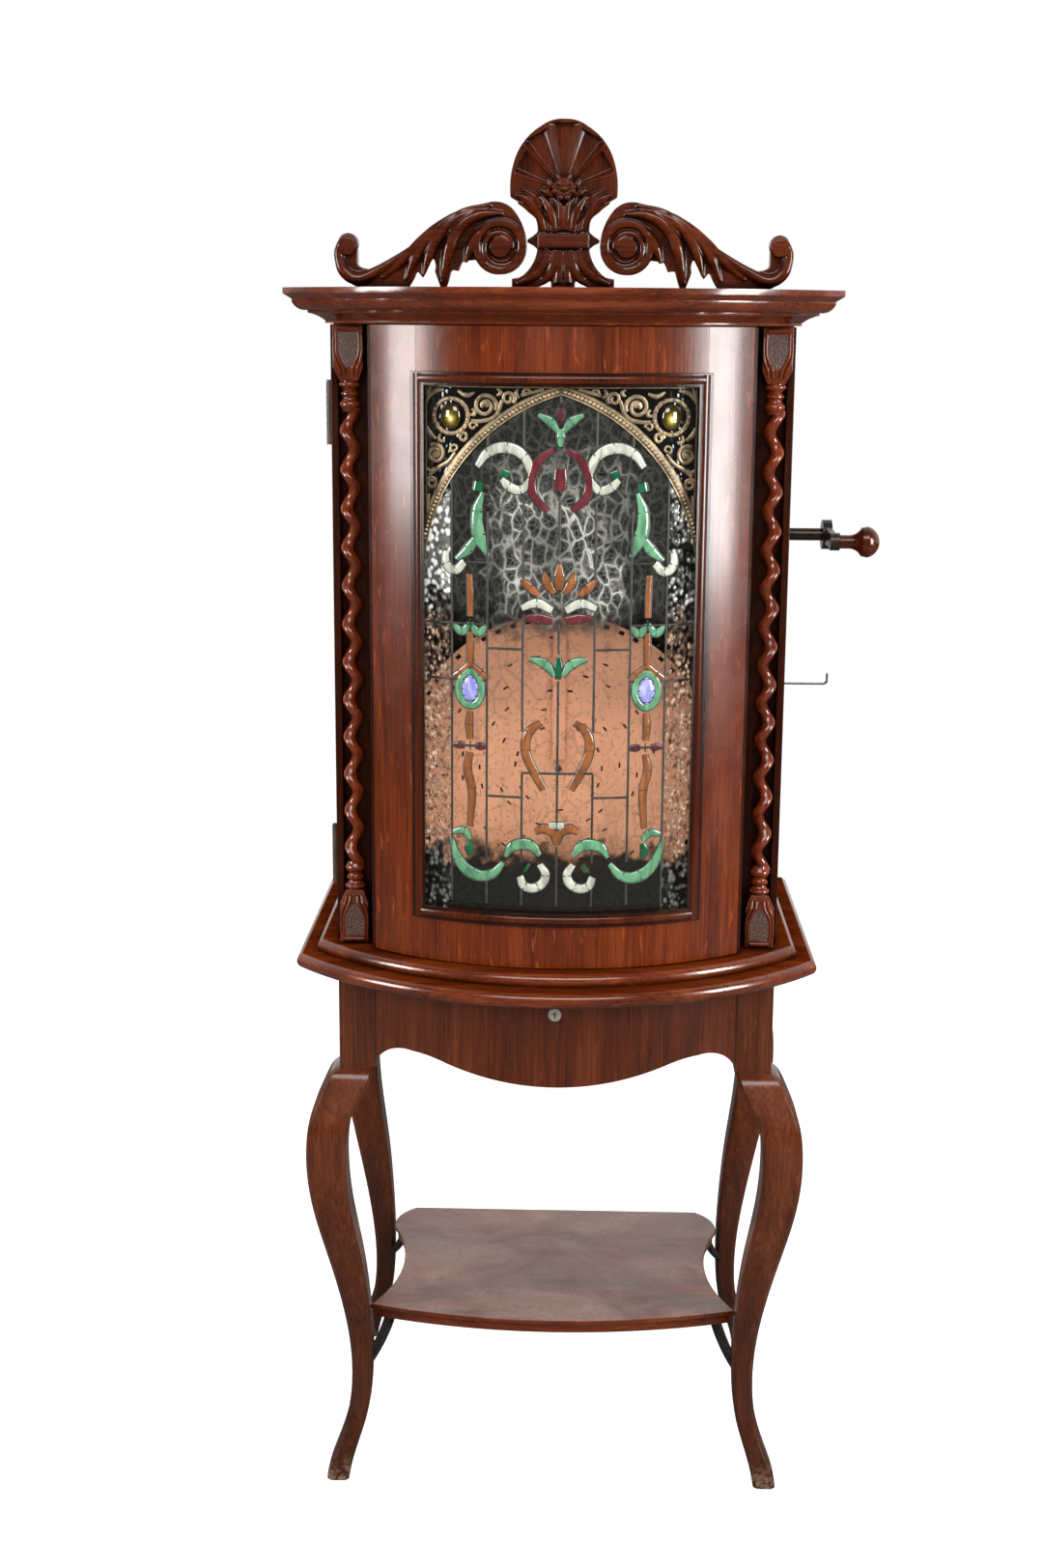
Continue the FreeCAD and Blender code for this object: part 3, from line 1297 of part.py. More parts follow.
comb_right = comb()
solid("combs", Part.makeCompound([comb_right, comb_right.mirror(Vector(), LEFT)]))
comb_base_view = [("star_radius + comb_gap + comb_long + comb_set", "star_first - comb_tooth"),
                  ("star_radius + comb_gap + comb_long + comb_spine", "star_first - comb_tooth"),
                  ("star_radius + comb_gap + comb_short + comb_spine", STAR_TOP + " + comb_tooth"),
                  ("star_radius + comb_gap + comb_short + comb_set", STAR_TOP + " + comb_tooth")]
comb_base = extrude("comb_base_right", place(outline("comb_base_view", comb_base_view, "front"),
                                             y="-bedplate_front"), Vector(0, -1, 0),
                    "%s - comb_thick / 2 - bedplate_front" % STAR_LINE)

# Pressure bar: a channel hinged above the disc, with a row of rollers on an upright axle
bar_ears = [box("bar_ear_%d" % index, (low, high), ("-bar_hinge_front - ear_reach", "-bedplate_front"),
                ("bar_hinge_height - ear_reach", "bar_hinge_height + ear_reach"))
            for index, (low, high) in enumerate((("bar_width / 2 + 1", "bar_width / 2 + 5"),
                                                 ("-bar_width / 2 - 5", "-bar_width / 2 - 1")))]
piece("bar_bracket", fuse("bar_bracket", rod("bar_pin", "X", "bar_pin_radius", "bar_width + 10",
                                             "-bar_width / 2 - 5", "-bar_hinge_front",
                                             "bar_hinge_height"), *bar_ears))
ROLLER_LINE = "(disc_front + roller_disc_gap + roller_radius)"
BAR_BACK = "(%s + roller_radius + 1)" % ROLLER_LINE
bar_plate = box("bar_plate", ("-bar_width / 2", "bar_width / 2"), ("-%s - bar_thick" % BAR_BACK,
                                                                 "-" + BAR_BACK),
                ("bar_foot", "bar_hinge_height"))
bar_knuckle = rod("bar_knuckle", "X", "ear_reach", "bar_width", "-bar_width / 2", "-bar_hinge_front",
                  "bar_hinge_height")
bar_lugs = [box("bar_lug_%d" % index, ("-bar_width / 4", "bar_width / 4"),
                ("-" + BAR_BACK, "3 - " + ROLLER_LINE), (low, low + " + bar_thick"))
            for index, low in enumerate(("bar_foot + bar_thick", "roller_head + 2"))]
piece("pressure_bar", cut("pressure_bar", fuse("bar_blank", bar_plate, bar_knuckle, *bar_lugs),
                          rod("bar_eye", "X", "bar_pin_radius + pin_play", "bar_width + 2",
                              "-bar_width / 2 - 1", "-bar_hinge_front", "bar_hinge_height"),
                          rod("axle_hole", "Z", "star_arbor + bore_play", "roller_head - bar_foot + 20",
                              "0", "-" + ROLLER_LINE, "bar_foot - 5")))
AXLE_FOOT = "bar_foot + bar_thick"
ROLLER_STEP = "((roller_head - bar_foot - 3 * bar_thick - roller_long) / 4)"
rollers = [rod("roller_%d" % index, "Z", "roller_radius", "roller_long", "0", "-" + ROLLER_LINE,
               "bar_foot + 2.6 * bar_thick + %d * %s" % (index, ROLLER_STEP)) for index in range(5)]
piece("bar_rollers", fuse("bar_rollers", rod("roller_axle", "Z", "star_arbor",
                                             "roller_head + 2 - bar_foot", "0", "-" + ROLLER_LINE,
                                             AXLE_FOOT), *rollers))

# Gear train between two plates; arbor places follow from the tooth counts and bearings
DRIVE_Y = "(drive_pitch_radius + disc_thick / 2 - disc_front)"
DRIVE_Z = "disc_height"
THIRD_ARM = "(gear_module * (third_teeth + drive_teeth) / 2)"
THIRD_Y = "(%s + %s * cos(third_bearing))" % (DRIVE_Y, THIRD_ARM)
THIRD_Z = "(%s + %s * sin(third_bearing))" % (DRIVE_Z, THIRD_ARM)
FAN_ARM = "(gear_module * (third_teeth + fan_pinion) / 2)"
FAN_Y = "(%s + %s * cos(fan_bearing))" % (THIRD_Y, FAN_ARM)
FAN_Z = "(%s + %s * sin(fan_bearing))" % (THIRD_Z, FAN_ARM)
GREAT_ARM = "(gear_module * (great_teeth + second_pinion) / 2)"
SECOND_ARM = "(gear_module * (second_teeth + third_pinion) / 2)"
SPREAD = "sqrt(%s^2 + (crank_height - %s)^2)" % (THIRD_Y, THIRD_Z)
ALONG = "((%s^2 - %s^2 + %s^2) / (2 * %s))" % (GREAT_ARM, SECOND_ARM, SPREAD, SPREAD)
ASIDE = "sqrt(%s^2 - %s^2)" % (GREAT_ARM, ALONG)
SECOND_Y = "((%s * %s + %s * (crank_height - %s)) / %s)" % (ALONG, THIRD_Y, ASIDE, THIRD_Z, SPREAD)
SECOND_Z = "(crank_height - (%s * (crank_height - %s) - %s * %s) / %s)" % (ALONG, THIRD_Z, ASIDE,
                                                                         THIRD_Y, SPREAD)
PLATE_BACK = "(inner_plate + plate_thick)"
FIRST_PLANE = "(%s + train_gap)" % PLATE_BACK
SECOND_PLANE = "(%s + gear_thick + train_gap)" % FIRST_PLANE
THIRD_PLANE = "(%s + gear_thick + train_gap)" % SECOND_PLANE
OUTER_PLATE = "(%s + gear_thick + outer_gap)" % THIRD_PLANE


def wheel(teeth, phase, plane, y, z, bore=0.0):
    """Spur gear at an arbor; phase is the bearing in radians of one tooth."""
    module = number("gear_module")
    pitch = module * teeth / 2
    root = pitch - number("tooth_root")
    tip = pitch + number("tooth_tip")
    low = number(plane)
    corners = []
    for count in range(teeth):
        middle = phase + 2 * math.pi * count / teeth
        for reach, half in ((root, -number("root_half")), (tip, -number("tip_half")),
                            (tip, number("tip_half")), (root, number("root_half"))):
            spot = middle + half / reach
            corners.append(Vector(low, y + reach * math.cos(spot), z + reach * math.sin(spot)))
    blank = prism(corners, Vector(1, 0, 0), number("gear_thick"))
    if bore:
        blank = blank.cut(Part.makeCylinder(bore, number("gear_thick"), Vector(low, y, z),
                                            Vector(1, 0, 0)))
    return blank


def meshed(bearing, driver_teeth, driven_teeth):
    """Phase that sets a tooth of the driven wheel in a gap of a driver whose phase is zero."""
    share = bearing * driver_teeth / (2 * math.pi)
    return bearing + math.pi - 2 * math.pi / driven_teeth * (0.5 - share)


def bar_x(radius, low, high, y, z):
    """Round bar along X between two values."""
    return Part.makeCylinder(radius, high - low, Vector(low, y, z), Vector(1, 0, 0))


arbor_places = {"great": (0.0, number("crank_height")), "second": (number(SECOND_Y), number(SECOND_Z)),
                "third": (number(THIRD_Y), number(THIRD_Z)), "drive": (number(DRIVE_Y), number(DRIVE_Z)),
                "fan": (number(FAN_Y), number(FAN_Z))}


def bearing_between(start, end):
    first = arbor_places[start]
    last = arbor_places[end]
    return math.atan2(last[1] - first[1], last[0] - first[0])


teeth = {name: int(number(name)) for name in ("great_teeth", "second_pinion", "second_teeth",
                                              "third_pinion", "third_teeth", "drive_teeth",
                                              "fan_pinion")}
inner_face = number("inner_plate")
outer_face = number(OUTER_PLATE + " + plate_thick")
arbor = number("arbor_radius")
winding_bore = number("winding_radius + bore_play")

# Spring barrel: drum, hub and great wheel turn on the winding shaft
great_y, great_z = arbor_places["great"]
drum_right = inner_face - 2
drum = bar_x(number("barrel_radius"), number("barrel_left"), drum_right, great_y, great_z)
hub = bar_x(number("winding_radius") + 5, drum_right, number(FIRST_PLANE), great_y, great_z)
shaft_way = bar_x(winding_bore, number("barrel_left"), number(FIRST_PLANE), great_y, great_z)
solid("spring_barrel", drum.fuse(hub).cut(shaft_way))
solid("great_wheel", wheel(teeth["great_teeth"], 0.0, FIRST_PLANE, great_y, great_z, winding_bore))

# Second and third arbors, each a pinion and a wheel on one spindle
second_y, second_z = arbor_places["second"]
second = wheel(teeth["second_pinion"], meshed(bearing_between("great", "second"), teeth["great_teeth"],
                                              teeth["second_pinion"]), FIRST_PLANE, second_y, second_z)
second = second.fuse([wheel(teeth["second_teeth"], 0.0, SECOND_PLANE, second_y, second_z),
                      bar_x(arbor, inner_face, outer_face, second_y, second_z)])
solid("second_arbor", second)
third_y, third_z = arbor_places["third"]
third = wheel(teeth["third_pinion"], meshed(bearing_between("second", "third"), teeth["second_teeth"],
                                            teeth["third_pinion"]), SECOND_PLANE, third_y, third_z)
third = third.fuse([wheel(teeth["third_teeth"], 0.0, THIRD_PLANE, third_y, third_z),
                    bar_x(arbor, inner_face, outer_face, third_y, third_z)])
solid("third_arbor", third)

# Drive arbor: its pins engage the holes near the disc's rim
drive_y, drive_z = arbor_places["drive"]
drive = wheel(teeth["drive_teeth"], meshed(bearing_between("third", "drive"), teeth["third_teeth"],
                                           teeth["drive_teeth"]), THIRD_PLANE, drive_y, drive_z)
pin_place = number("rim_hole_radius")
pin_wheel = bar_x(number("drive_pitch_radius") - 2, pin_place - 3, pin_place + 3, drive_y, drive_z)
drive_parts = [pin_wheel, bar_x(arbor, pin_place - 3, outer_face, drive_y, drive_z)]
pins_round = int(number("drive_pins"))
pin_radius = number("drive_pin_radius")
for count in range(pins_round):
    spot = math.pi + 2 * math.pi * count / pins_round
    outward = Vector(0, math.cos(spot), math.sin(spot))
    root = Vector(pin_place, drive_y, drive_z) + outward * (number("drive_pitch_radius") - 6)
    across = outward.cross(LEFT)
    square = [root + LEFT * pin_radius * a + across * pin_radius * b
              for a, b in ((0.9, 0), (0.45, 0.8), (-0.45, 0.8), (-0.9, 0), (-0.45, -0.8), (0.45, -0.8))]
    drive_parts.append(prism(square, outward, number("drive_pin_reach") + 6))
solid("drive_wheel", drive.fuse(drive_parts))

# Governor fan outside the plates
fan_y, fan_z = arbor_places["fan"]
fan_low = outer_face + number("fan_set_out")
fan_reach = number("fan_radius")
fan_wide = number("fan_wide")
blade = Part.makeBox(fan_wide, 2 * fan_reach, 2, Vector(fan_low, fan_y - fan_reach, fan_z - 1))
fan = wheel(teeth["fan_pinion"], meshed(bearing_between("third", "fan"), teeth["third_teeth"],
                                        teeth["fan_pinion"]), THIRD_PLANE, fan_y, fan_z)
solid("governor_fan", fan.fuse([blade, bar_x(arbor, inner_face, fan_low, fan_y, fan_z),
                                bar_x(arbor + 2, fan_low, fan_low + fan_wide, fan_y, fan_z)]))

# Motor plates with pillars between them and studs to the case side
reach_a = number("gear_module * great_teeth / 2 + tooth_tip + pillar_gap")
reach_d = number("gear_module * drive_teeth / 2 + tooth_tip + pillar_gap")
pillar_places = [
    (great_y + reach_a * math.cos(math.radians(140)), great_z + reach_a * math.sin(math.radians(140))),
    (great_y + reach_a * math.cos(math.radians(40)), great_z + reach_a * math.sin(math.radians(40))),
    (fan_y + number("back_pillar_reach") * math.cos(math.radians(-65)),
     fan_z + number("back_pillar_reach") * math.sin(math.radians(-65))),
    (drive_y + reach_d * math.cos(math.radians(250)), drive_z + reach_d * math.sin(math.radians(250)))]
pillar_radius = number("pillar_radius")
margin = number("plate_margin")
plate_corners = [(pillar_places[0][0] - margin, pillar_places[0][1] + margin),
                 (pillar_places[1][0] + margin, pillar_places[1][1] + margin),
                 (pillar_places[2][0] + margin, pillar_places[2][1] - margin),
                 (pillar_places[3][0] - margin, pillar_places[3][1] - margin)]


def motor_plate(low, holes):
    thick = number("plate_thick")
    blank = prism([Vector(low, y, z) for y, z in plate_corners], Vector(1, 0, 0), thick)
    return blank.cut([bar_x(radius, low, low + thick, *place_yz) for place_yz, radius in holes])


running = arbor + number("bore_play")
spindles = [(arbor_places[name], running) for name in ("second", "third", "drive", "fan")]
solid("motor_plate_inner", motor_plate(inner_face, spindles + [
    (arbor_places["great"], number("winding_radius") + 6)]))
pillars = [bar_x(pillar_radius, number(PLATE_BACK), number(OUTER_PLATE), y, z)
           for y, z in pillar_places]
studs = [bar_x(pillar_radius, outer_face, number(CASE_INSIDE), y, z) for y, z in pillar_places]
solid("motor_pillars", Part.makeCompound(pillars + studs))

# Bedplate casting: plate, comb seats, and the bearing bracket at the drum's left end
bracket_left = "(barrel_left - 3 - bracket_plate)"
barrel_web = box("barrel_web", (bracket_left, bracket_left + " + bracket_plate"),
                 (BED_BACK, "2 * winding_radius"), ("crank_height - 2 * winding_radius",
                                                    "crank_height + 2 * winding_radius"))
barrel_foot = box("barrel_foot", (bracket_left + " - 20", bracket_left + " + bracket_plate"),
                  (BED_BACK, BED_BACK + " + bracket_plate"),
                  ("crank_height - 3 * winding_radius", "crank_height + 3 * winding_radius"))
bed_blank = fuse("bed_blank", bed_board, comb_base, mirror("comb_base_left", comb_base, LEFT),
                 barrel_web, barrel_foot)
piece("bedplate", cut("bedplate", bed_blank, rod("bracket_bore", "X", "winding_radius + bore_play",
                                                 "bracket_plate + 2", bracket_left + " - 1",
                                                 z="crank_height")))

# Winding shaft with its ratchet wheel, and the click on the outer plate
OUTER_FACE = "(%s + plate_thick)" % OUTER_PLATE
piece("winding_shaft", fuse("winding_shaft",
                            rod("winding_core", "X", "winding_radius",
                                OUTER_FACE + " + 1 - (%s - 2)" % bracket_left, bracket_left + " - 2",
                                z="crank_height"),
                            rod("winding_outer", "X", "shaft_radius",
                                "crank_place + crank_thick - %s - 1" % OUTER_FACE, OUTER_FACE + " + 1",
                                z="crank_height")))
ratchet_low = outer_face + number("ratchet_set_out")
notches = int(number("ratchet_teeth"))
ratchet_tip = number("ratchet_radius")
ratchet_root = ratchet_tip - number("ratchet_tooth")
ratchet_corners = []
for count in range(notches):
    for reach, spot in ((ratchet_root, 2 * math.pi * count / notches),
                        (ratchet_tip, 2 * math.pi * count / notches)):
        ratchet_corners.append(Vector(ratchet_low, great_y + reach * math.cos(spot),
                                      great_z + reach * math.sin(spot)))
ratchet_wide = number("ratchet_wide")
shaft_bore = number("shaft_radius + bore_play")
ratchet = prism(ratchet_corners, Vector(1, 0, 0), ratchet_wide)
solid("ratchet_wheel", ratchet.cut(bar_x(shaft_bore, ratchet_low, ratchet_low + ratchet_wide,
                                         great_y, great_z)))
notch = 2 * math.pi * 2 / notches
click_bearing = notch - math.radians(44)
pivot = (great_y + number("click_place") * math.cos(click_bearing),
         great_z + number("click_place") * math.sin(click_bearing))
gap = number("click_gap")
click_half = number("click_pin + 1")


def ratchet_point(reach, spot):
    return Vector(ratchet_low, great_y + reach * math.cos(spot), great_z + reach * math.sin(spot))


nose_bearing = notch - number("click_clear") / ratchet_root
nose_low = ratchet_point(ratchet_root + 1.5 * gap, nose_bearing)
nose_high = ratchet_point(ratchet_tip + gap, nose_bearing)
heel = Vector(ratchet_low, *pivot)
outward = LEFT.cross(heel - nose_low).normalize() * click_half
nose = [nose_low, nose_high, heel + outward, heel - outward]
click = prism(nose, LEFT, ratchet_wide).fuse(bar_x(2 * number("click_pin"), ratchet_low,
                                                   ratchet_low + ratchet_wide, *pivot))
solid("click", click.cut(bar_x(number("click_pin + bore_play"), ratchet_low,
                               ratchet_low + ratchet_wide, *pivot)))
outer_plate = motor_plate(number(OUTER_PLATE), spindles + [(arbor_places["great"], winding_bore)])
click_pin = bar_x(number("click_pin"), outer_face - 1, ratchet_low + ratchet_wide + 2, *pivot)
solid("motor_plate_outer", outer_plate.fuse(click_pin))

# Crank: bush in the case side, arm on the shaft, turned knob on its spindle
bush_blank = fuse("bush_blank", rod("bush_sleeve", "X", "bush_radius", "side_thick + bush_proud",
                                    CASE_INSIDE, z="crank_height"),
                  rod("bush_rim", "X", "bush_flange", "bush_proud", "case_half", z="crank_height"))
piece("crank_bush", cut("crank_bush", bush_blank, rod("bush_bore", "X", "shaft_radius + bore_play",
                                                      "2 * side_thick", CASE_INSIDE + " - 1",
                                                      z="crank_height")))
arm_view = outline("arm_view", (("0.62 * crank_boss", "0"), ("0", "0.62 * crank_boss"),
                                ("-crank_arm", "0.72 * knob_boss"), ("-crank_arm", "-0.72 * knob_boss"),
                                ("0", "-0.62 * crank_boss")), "side")
place(arm_view, "crank_place + 2", "0", "crank_height")
arm_bar = extrude("arm_bar", arm_view, LEFT, "crank_thick - 4")
arm_parts = [arm_bar, rod("arm_hub", "X", "crank_boss", "crank_thick", "crank_place", z="crank_height"),
             rod("arm_end", "X", "knob_boss", "crank_thick", "crank_place", "-crank_arm",
                 "crank_height"),
             rod("knob_spindle", "X", "spindle_radius", "crank_thick + 0.8 * knob_long", "crank_place",
                 "-crank_arm", "crank_height")]
piece("crank_arm", cut("crank_arm", fuse("arm_blank", *arm_parts),
                       rod("arm_bore", "X", "shaft_radius + bore_play", "2 * crank_thick",
                           "crank_place - 1", z="crank_height")))
CAP_FOOT = "(0.7 * knob_long)"
CAP_CENTRE = "((knob_long^2 - knob_radius^2 - %s^2) / (2 * (knob_long - %s)))" % (CAP_FOOT, CAP_FOOT)
CAP_ROUND = "(knob_long - %s)" % CAP_CENTRE
knob_points = (("0", "0"), ("knob_neck", "0"), ("knob_neck", "0.22 * knob_long"),
               ("0.92 * knob_radius", "0.54 * knob_long", "0.58 * knob_radius", "0.42 * knob_long"),
               ("knob_radius", CAP_FOOT),
               ("0", "knob_long", "0.6 * " + CAP_ROUND, CAP_CENTRE + " + 0.8 * " + CAP_ROUND))
knob_solid = turned("knob_solid", knob_points)
knob_solid.Placement = Placement(Vector(), AXIS_TURN["X"])
KNOB_START = "crank_place + crank_thick + seat_play"
place(knob_solid, KNOB_START, "-crank_arm", "crank_height")
knob_bore = rod("knob_bore", "X", "spindle_radius + bore_play", "0.82 * knob_long", KNOB_START,
                "-crank_arm", "crank_height")
piece("crank_knob", cut("crank_knob", knob_solid, knob_bore))


# Start rod: bent wire through the case side, with a stop collar inside
def start_rod():
    radius = number("rod_radius")
    height = number("rod_height")
    bend = number("rod_bend")
    reach = number("rod_reach")
    tip = height + number("rod_tip")
    straight = Part.LineSegment(Vector(number("rod_inner"), 0, height), Vector(reach - bend, 0, height))
    turn = Part.Arc(Vector(reach - bend, 0, height),
                    Vector(reach - bend + bend * math.sin(math.pi / 4), 0,
                           height + bend - bend * math.cos(math.pi / 4)),
                    Vector(reach, 0, height + bend))
    rise = Part.LineSegment(Vector(reach, 0, height + bend), Vector(reach, 0, tip))
    path = Part.Wire([straight.toShape(), turn.toShape(), rise.toShape()])
    end = Part.Wire([Part.Circle(Vector(number("rod_inner"), 0, height), Vector(1, 0, 0),
                                 radius).toShape()])
    wire = path.makePipeShell([end], True, True)
    collar = bar_x(2 * radius, number("rod_inner") + 5, number("rod_inner") + 9, 0, height)
    return wire.fuse(collar)


solid("start_rod", start_rod())

# Check every object, then write one file per sub-part
doc.recompute()
for item in doc.Objects:
    if "Invalid" in item.State or "Error" in item.State:
        raise RuntimeError("%s failed: %s" % (item.Label, item.State))
for item in PIECES:
    if item.Shape.isNull() or not item.Shape.isValid():
        raise RuntimeError("%s has no valid shape" % item.Label)
os.makedirs("parts", exist_ok=True)
for item in PIECES:
    item.Shape.exportStep(os.path.join("parts", item.Label + ".step"))
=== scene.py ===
import json
import math

import bmesh
import bpy
from bpy.props import FloatProperty, FloatVectorProperty, IntProperty, PointerProperty
from mathutils import Matrix, Vector


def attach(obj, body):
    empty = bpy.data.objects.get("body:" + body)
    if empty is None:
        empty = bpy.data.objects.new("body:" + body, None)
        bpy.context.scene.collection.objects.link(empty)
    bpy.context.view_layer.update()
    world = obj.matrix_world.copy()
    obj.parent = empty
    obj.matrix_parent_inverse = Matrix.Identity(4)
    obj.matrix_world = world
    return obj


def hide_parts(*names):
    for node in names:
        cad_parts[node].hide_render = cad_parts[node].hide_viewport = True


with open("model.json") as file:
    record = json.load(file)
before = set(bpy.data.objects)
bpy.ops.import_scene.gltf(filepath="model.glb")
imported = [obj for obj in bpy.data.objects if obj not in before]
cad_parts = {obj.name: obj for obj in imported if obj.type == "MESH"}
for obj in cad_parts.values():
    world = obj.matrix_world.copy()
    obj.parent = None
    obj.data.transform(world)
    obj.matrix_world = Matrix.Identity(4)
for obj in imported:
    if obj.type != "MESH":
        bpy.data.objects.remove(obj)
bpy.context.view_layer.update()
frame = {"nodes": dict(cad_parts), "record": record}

bl_info = {
    "name": "Upright Disc Music Box",
    "version": (1, 0, 0),
    "blender": (4, 5, 0),
    "location": "3D View > Sidebar > Music Box",
    "description": "Dresses the disc music box: stained oak, carving, art glass, brass and movement",
    "category": "Object",
}

MM = 0.001
RECORD = frame["record"]
BODY_OF = {node: body for body, nodes in RECORD["behaviour"]["bodies"].items() for node in nodes}

# Lengths in millimetres. The bow of the front: one upright axis for door, glass and drawer
BOW_CENTRE = 62.0
GLASS_RADIUS = 360.0
# The pointed arch: centre of its right arc, radius, and bearing where the bead hides its foot
ARCH_LEVEL = 1217.0
ARCH_CENTRE = 66.2
ARCH_RADIUS = 236.5
ARCH_FOOT = 0.126
# Middle of the right jewel, and inner edge of the hammered panes at the sides
JEWEL_PLACE = (128.0, 1409.0)
HAMMERED_EDGE = 127.0
CORNICE_HEAD = 1554.0
CREST_FRONT = -222.0
# Middle of the disc, and distance between its rows of marks
DISC_HEIGHT = 963.0
DISC_ROW = 5.6


# Sizes and colours that a user may change

class StainedWood(bpy.types.PropertyGroup):
    dark: FloatVectorProperty(name="Dark grain", description="Colour of pores and late wood",
        subtype="COLOR", default=(0.022, 0.0036, 0.001), min=0, max=1)
    middle: FloatVectorProperty(name="Stain", description="Main colour of the stained oak",
        subtype="COLOR", default=(0.087, 0.0128, 0.0016), min=0, max=1)
    light: FloatVectorProperty(name="Light figure", description="Colour of the brighter figure",
        subtype="COLOR", default=(0.16, 0.031, 0.0053), min=0, max=1)
    roughness: FloatProperty(name="Varnish roughness", description="Roughness of the satin varnish",
        default=0.25, min=0, max=1)
    edge: FloatProperty(name="Softened edge", description="Width of the worn edges, in millimetres",
        default=0.9, min=0.1, max=3)


class TwistSizes(bpy.types.PropertyGroup):
    strand: FloatProperty(name="Strand", description="Radius of the twisted strand, in millimetres",
        default=7.9, min=4, max=12)
    throw: FloatProperty(name="Throw", description="Distance of the strand from the column's axis",
        default=5.1, min=1, max=8)
    pitch: FloatProperty(name="Pitch", description="Height of one turn, in millimetres",
        default=47.0, min=20, max=90)
    steps: IntProperty(name="Steps", description="Sections in one turn of the twist",
        default=28, min=8, max=64)


class ArtGlass(bpy.types.PropertyGroup):
    lead: FloatProperty(name="Lead line", description="Half width of a lead line, in millimetres",
        default=1.45, min=0.5, max=3)
    swell: FloatProperty(name="Swell", description="Added to the half width of each coloured piece",
        default=0.8, min=0, max=3)
    leaf: FloatVectorProperty(name="Leaf glass", description="Green glass of the leaves",
        subtype="COLOR", default=(0.085, 0.215, 0.115), min=0, max=1)
    emerald: FloatVectorProperty(name="Emerald glass", description="Deep green of the small pieces",
        subtype="COLOR", default=(0.006, 0.075, 0.03), min=0, max=1)
    opal: FloatVectorProperty(name="Opal glass", description="Milky glass of the scrolls",
        subtype="COLOR", default=(0.345, 0.357, 0.292), min=0, max=1)
    amber: FloatVectorProperty(name="Amber glass", description="Brown glass of the stems",
        subtype="COLOR", default=(0.19, 0.066, 0.021), min=0, max=1)
    ruby: FloatVectorProperty(name="Ruby glass", description="Dark red glass of the blossoms",
        subtype="COLOR", default=(0.088, 0.014, 0.017), min=0, max=1)
    violet: FloatVectorProperty(name="Violet glass", description="Blue and violet ovals",
        subtype="COLOR", default=(0.245, 0.245, 0.6), min=0, max=1)


class MetalTones(bpy.types.PropertyGroup):
    brass: FloatVectorProperty(name="Brass", description="Bright places of the aged brass",
        subtype="COLOR", default=(0.58, 0.43, 0.245), min=0, max=1)
    tarnish: FloatVectorProperty(name="Tarnish", description="Dark places of the aged brass",
        subtype="COLOR", default=(0.14, 0.1, 0.062), min=0, max=1)
    copper: FloatVectorProperty(name="Copper", description="Coppered steel of the disc",
        subtype="COLOR", default=(1.0, 0.482, 0.275), min=0, max=1)


class StageSizes(bpy.types.PropertyGroup):
    left: FloatProperty(name="Left light", description="Power of the tall light on the left, in watts",
        default=78.0, min=0, max=400)
    right: FloatProperty(name="Right light", description="Power of the tall light on the right, in watts",
        default=112.0, min=0, max=400)
    high: FloatProperty(name="High light", description="Power of the high front light, in watts",
        default=52.0, min=0, max=400)
    fill: FloatProperty(name="Fill light", description="Power of the soft fill from the front, in watts",
        default=76.0, min=0, max=400)
    sky: FloatProperty(name="Studio", description="Brightness of the studio in front of the object",
        default=0.06, min=0, max=2)


class MusicBoxSettings(bpy.types.PropertyGroup):
    wood: PointerProperty(type=StainedWood)
    twist: PointerProperty(type=TwistSizes)
    glass: PointerProperty(type=ArtGlass)
    metal: PointerProperty(type=MetalTones)
    stage: PointerProperty(type=StageSizes)


def settings():
    return bpy.context.scene.music_box


# Finishes

def three(value):
    """The same value for three axes or colours, or the three as given."""
    return value if isinstance(value, tuple) else (value, value, value)


def toned(colour, share):
    return tuple(value * part for value, part in zip(colour, three(share)))


def along(grain, across, run):
    """Noise scale with the grain along one axis."""
    return tuple(run if axis == grain else across for axis in "XYZ")


def distance(across, up):
    return (across ** 2.0 + up ** 2.0) ** 0.5


def operation(way):
    """A method of Value that adds one Math node."""
    def method(self, second=0.5, third=0.0):
        return self.finish.add("Math", "Value", {0: self, 1: second, 2: third}, operation=way)
    return method


class Value:
    """The output of a node; arithmetic with it adds the nodes that work it out."""

    def __init__(self, finish, socket):
        self.finish = finish
        self.socket = socket

    def __rsub__(self, first):
        return self.finish.add("Math", "Value", {0: first, 1: self}, operation="SUBTRACT")

    __add__ = operation("ADD")
    __sub__ = operation("SUBTRACT")
    __mul__ = operation("MULTIPLY")
    __truediv__ = operation("DIVIDE")
    __pow__ = operation("POWER")
    __gt__ = operation("GREATER_THAN")
    __lt__ = operation("LESS_THAN")
    __abs__ = operation("ABSOLUTE")
    most = operation("MAXIMUM")
    near = operation("COMPARE")
    floor = operation("FLOOR")
    fraction = operation("FRACT")
    bearing = operation("ARCTAN2")


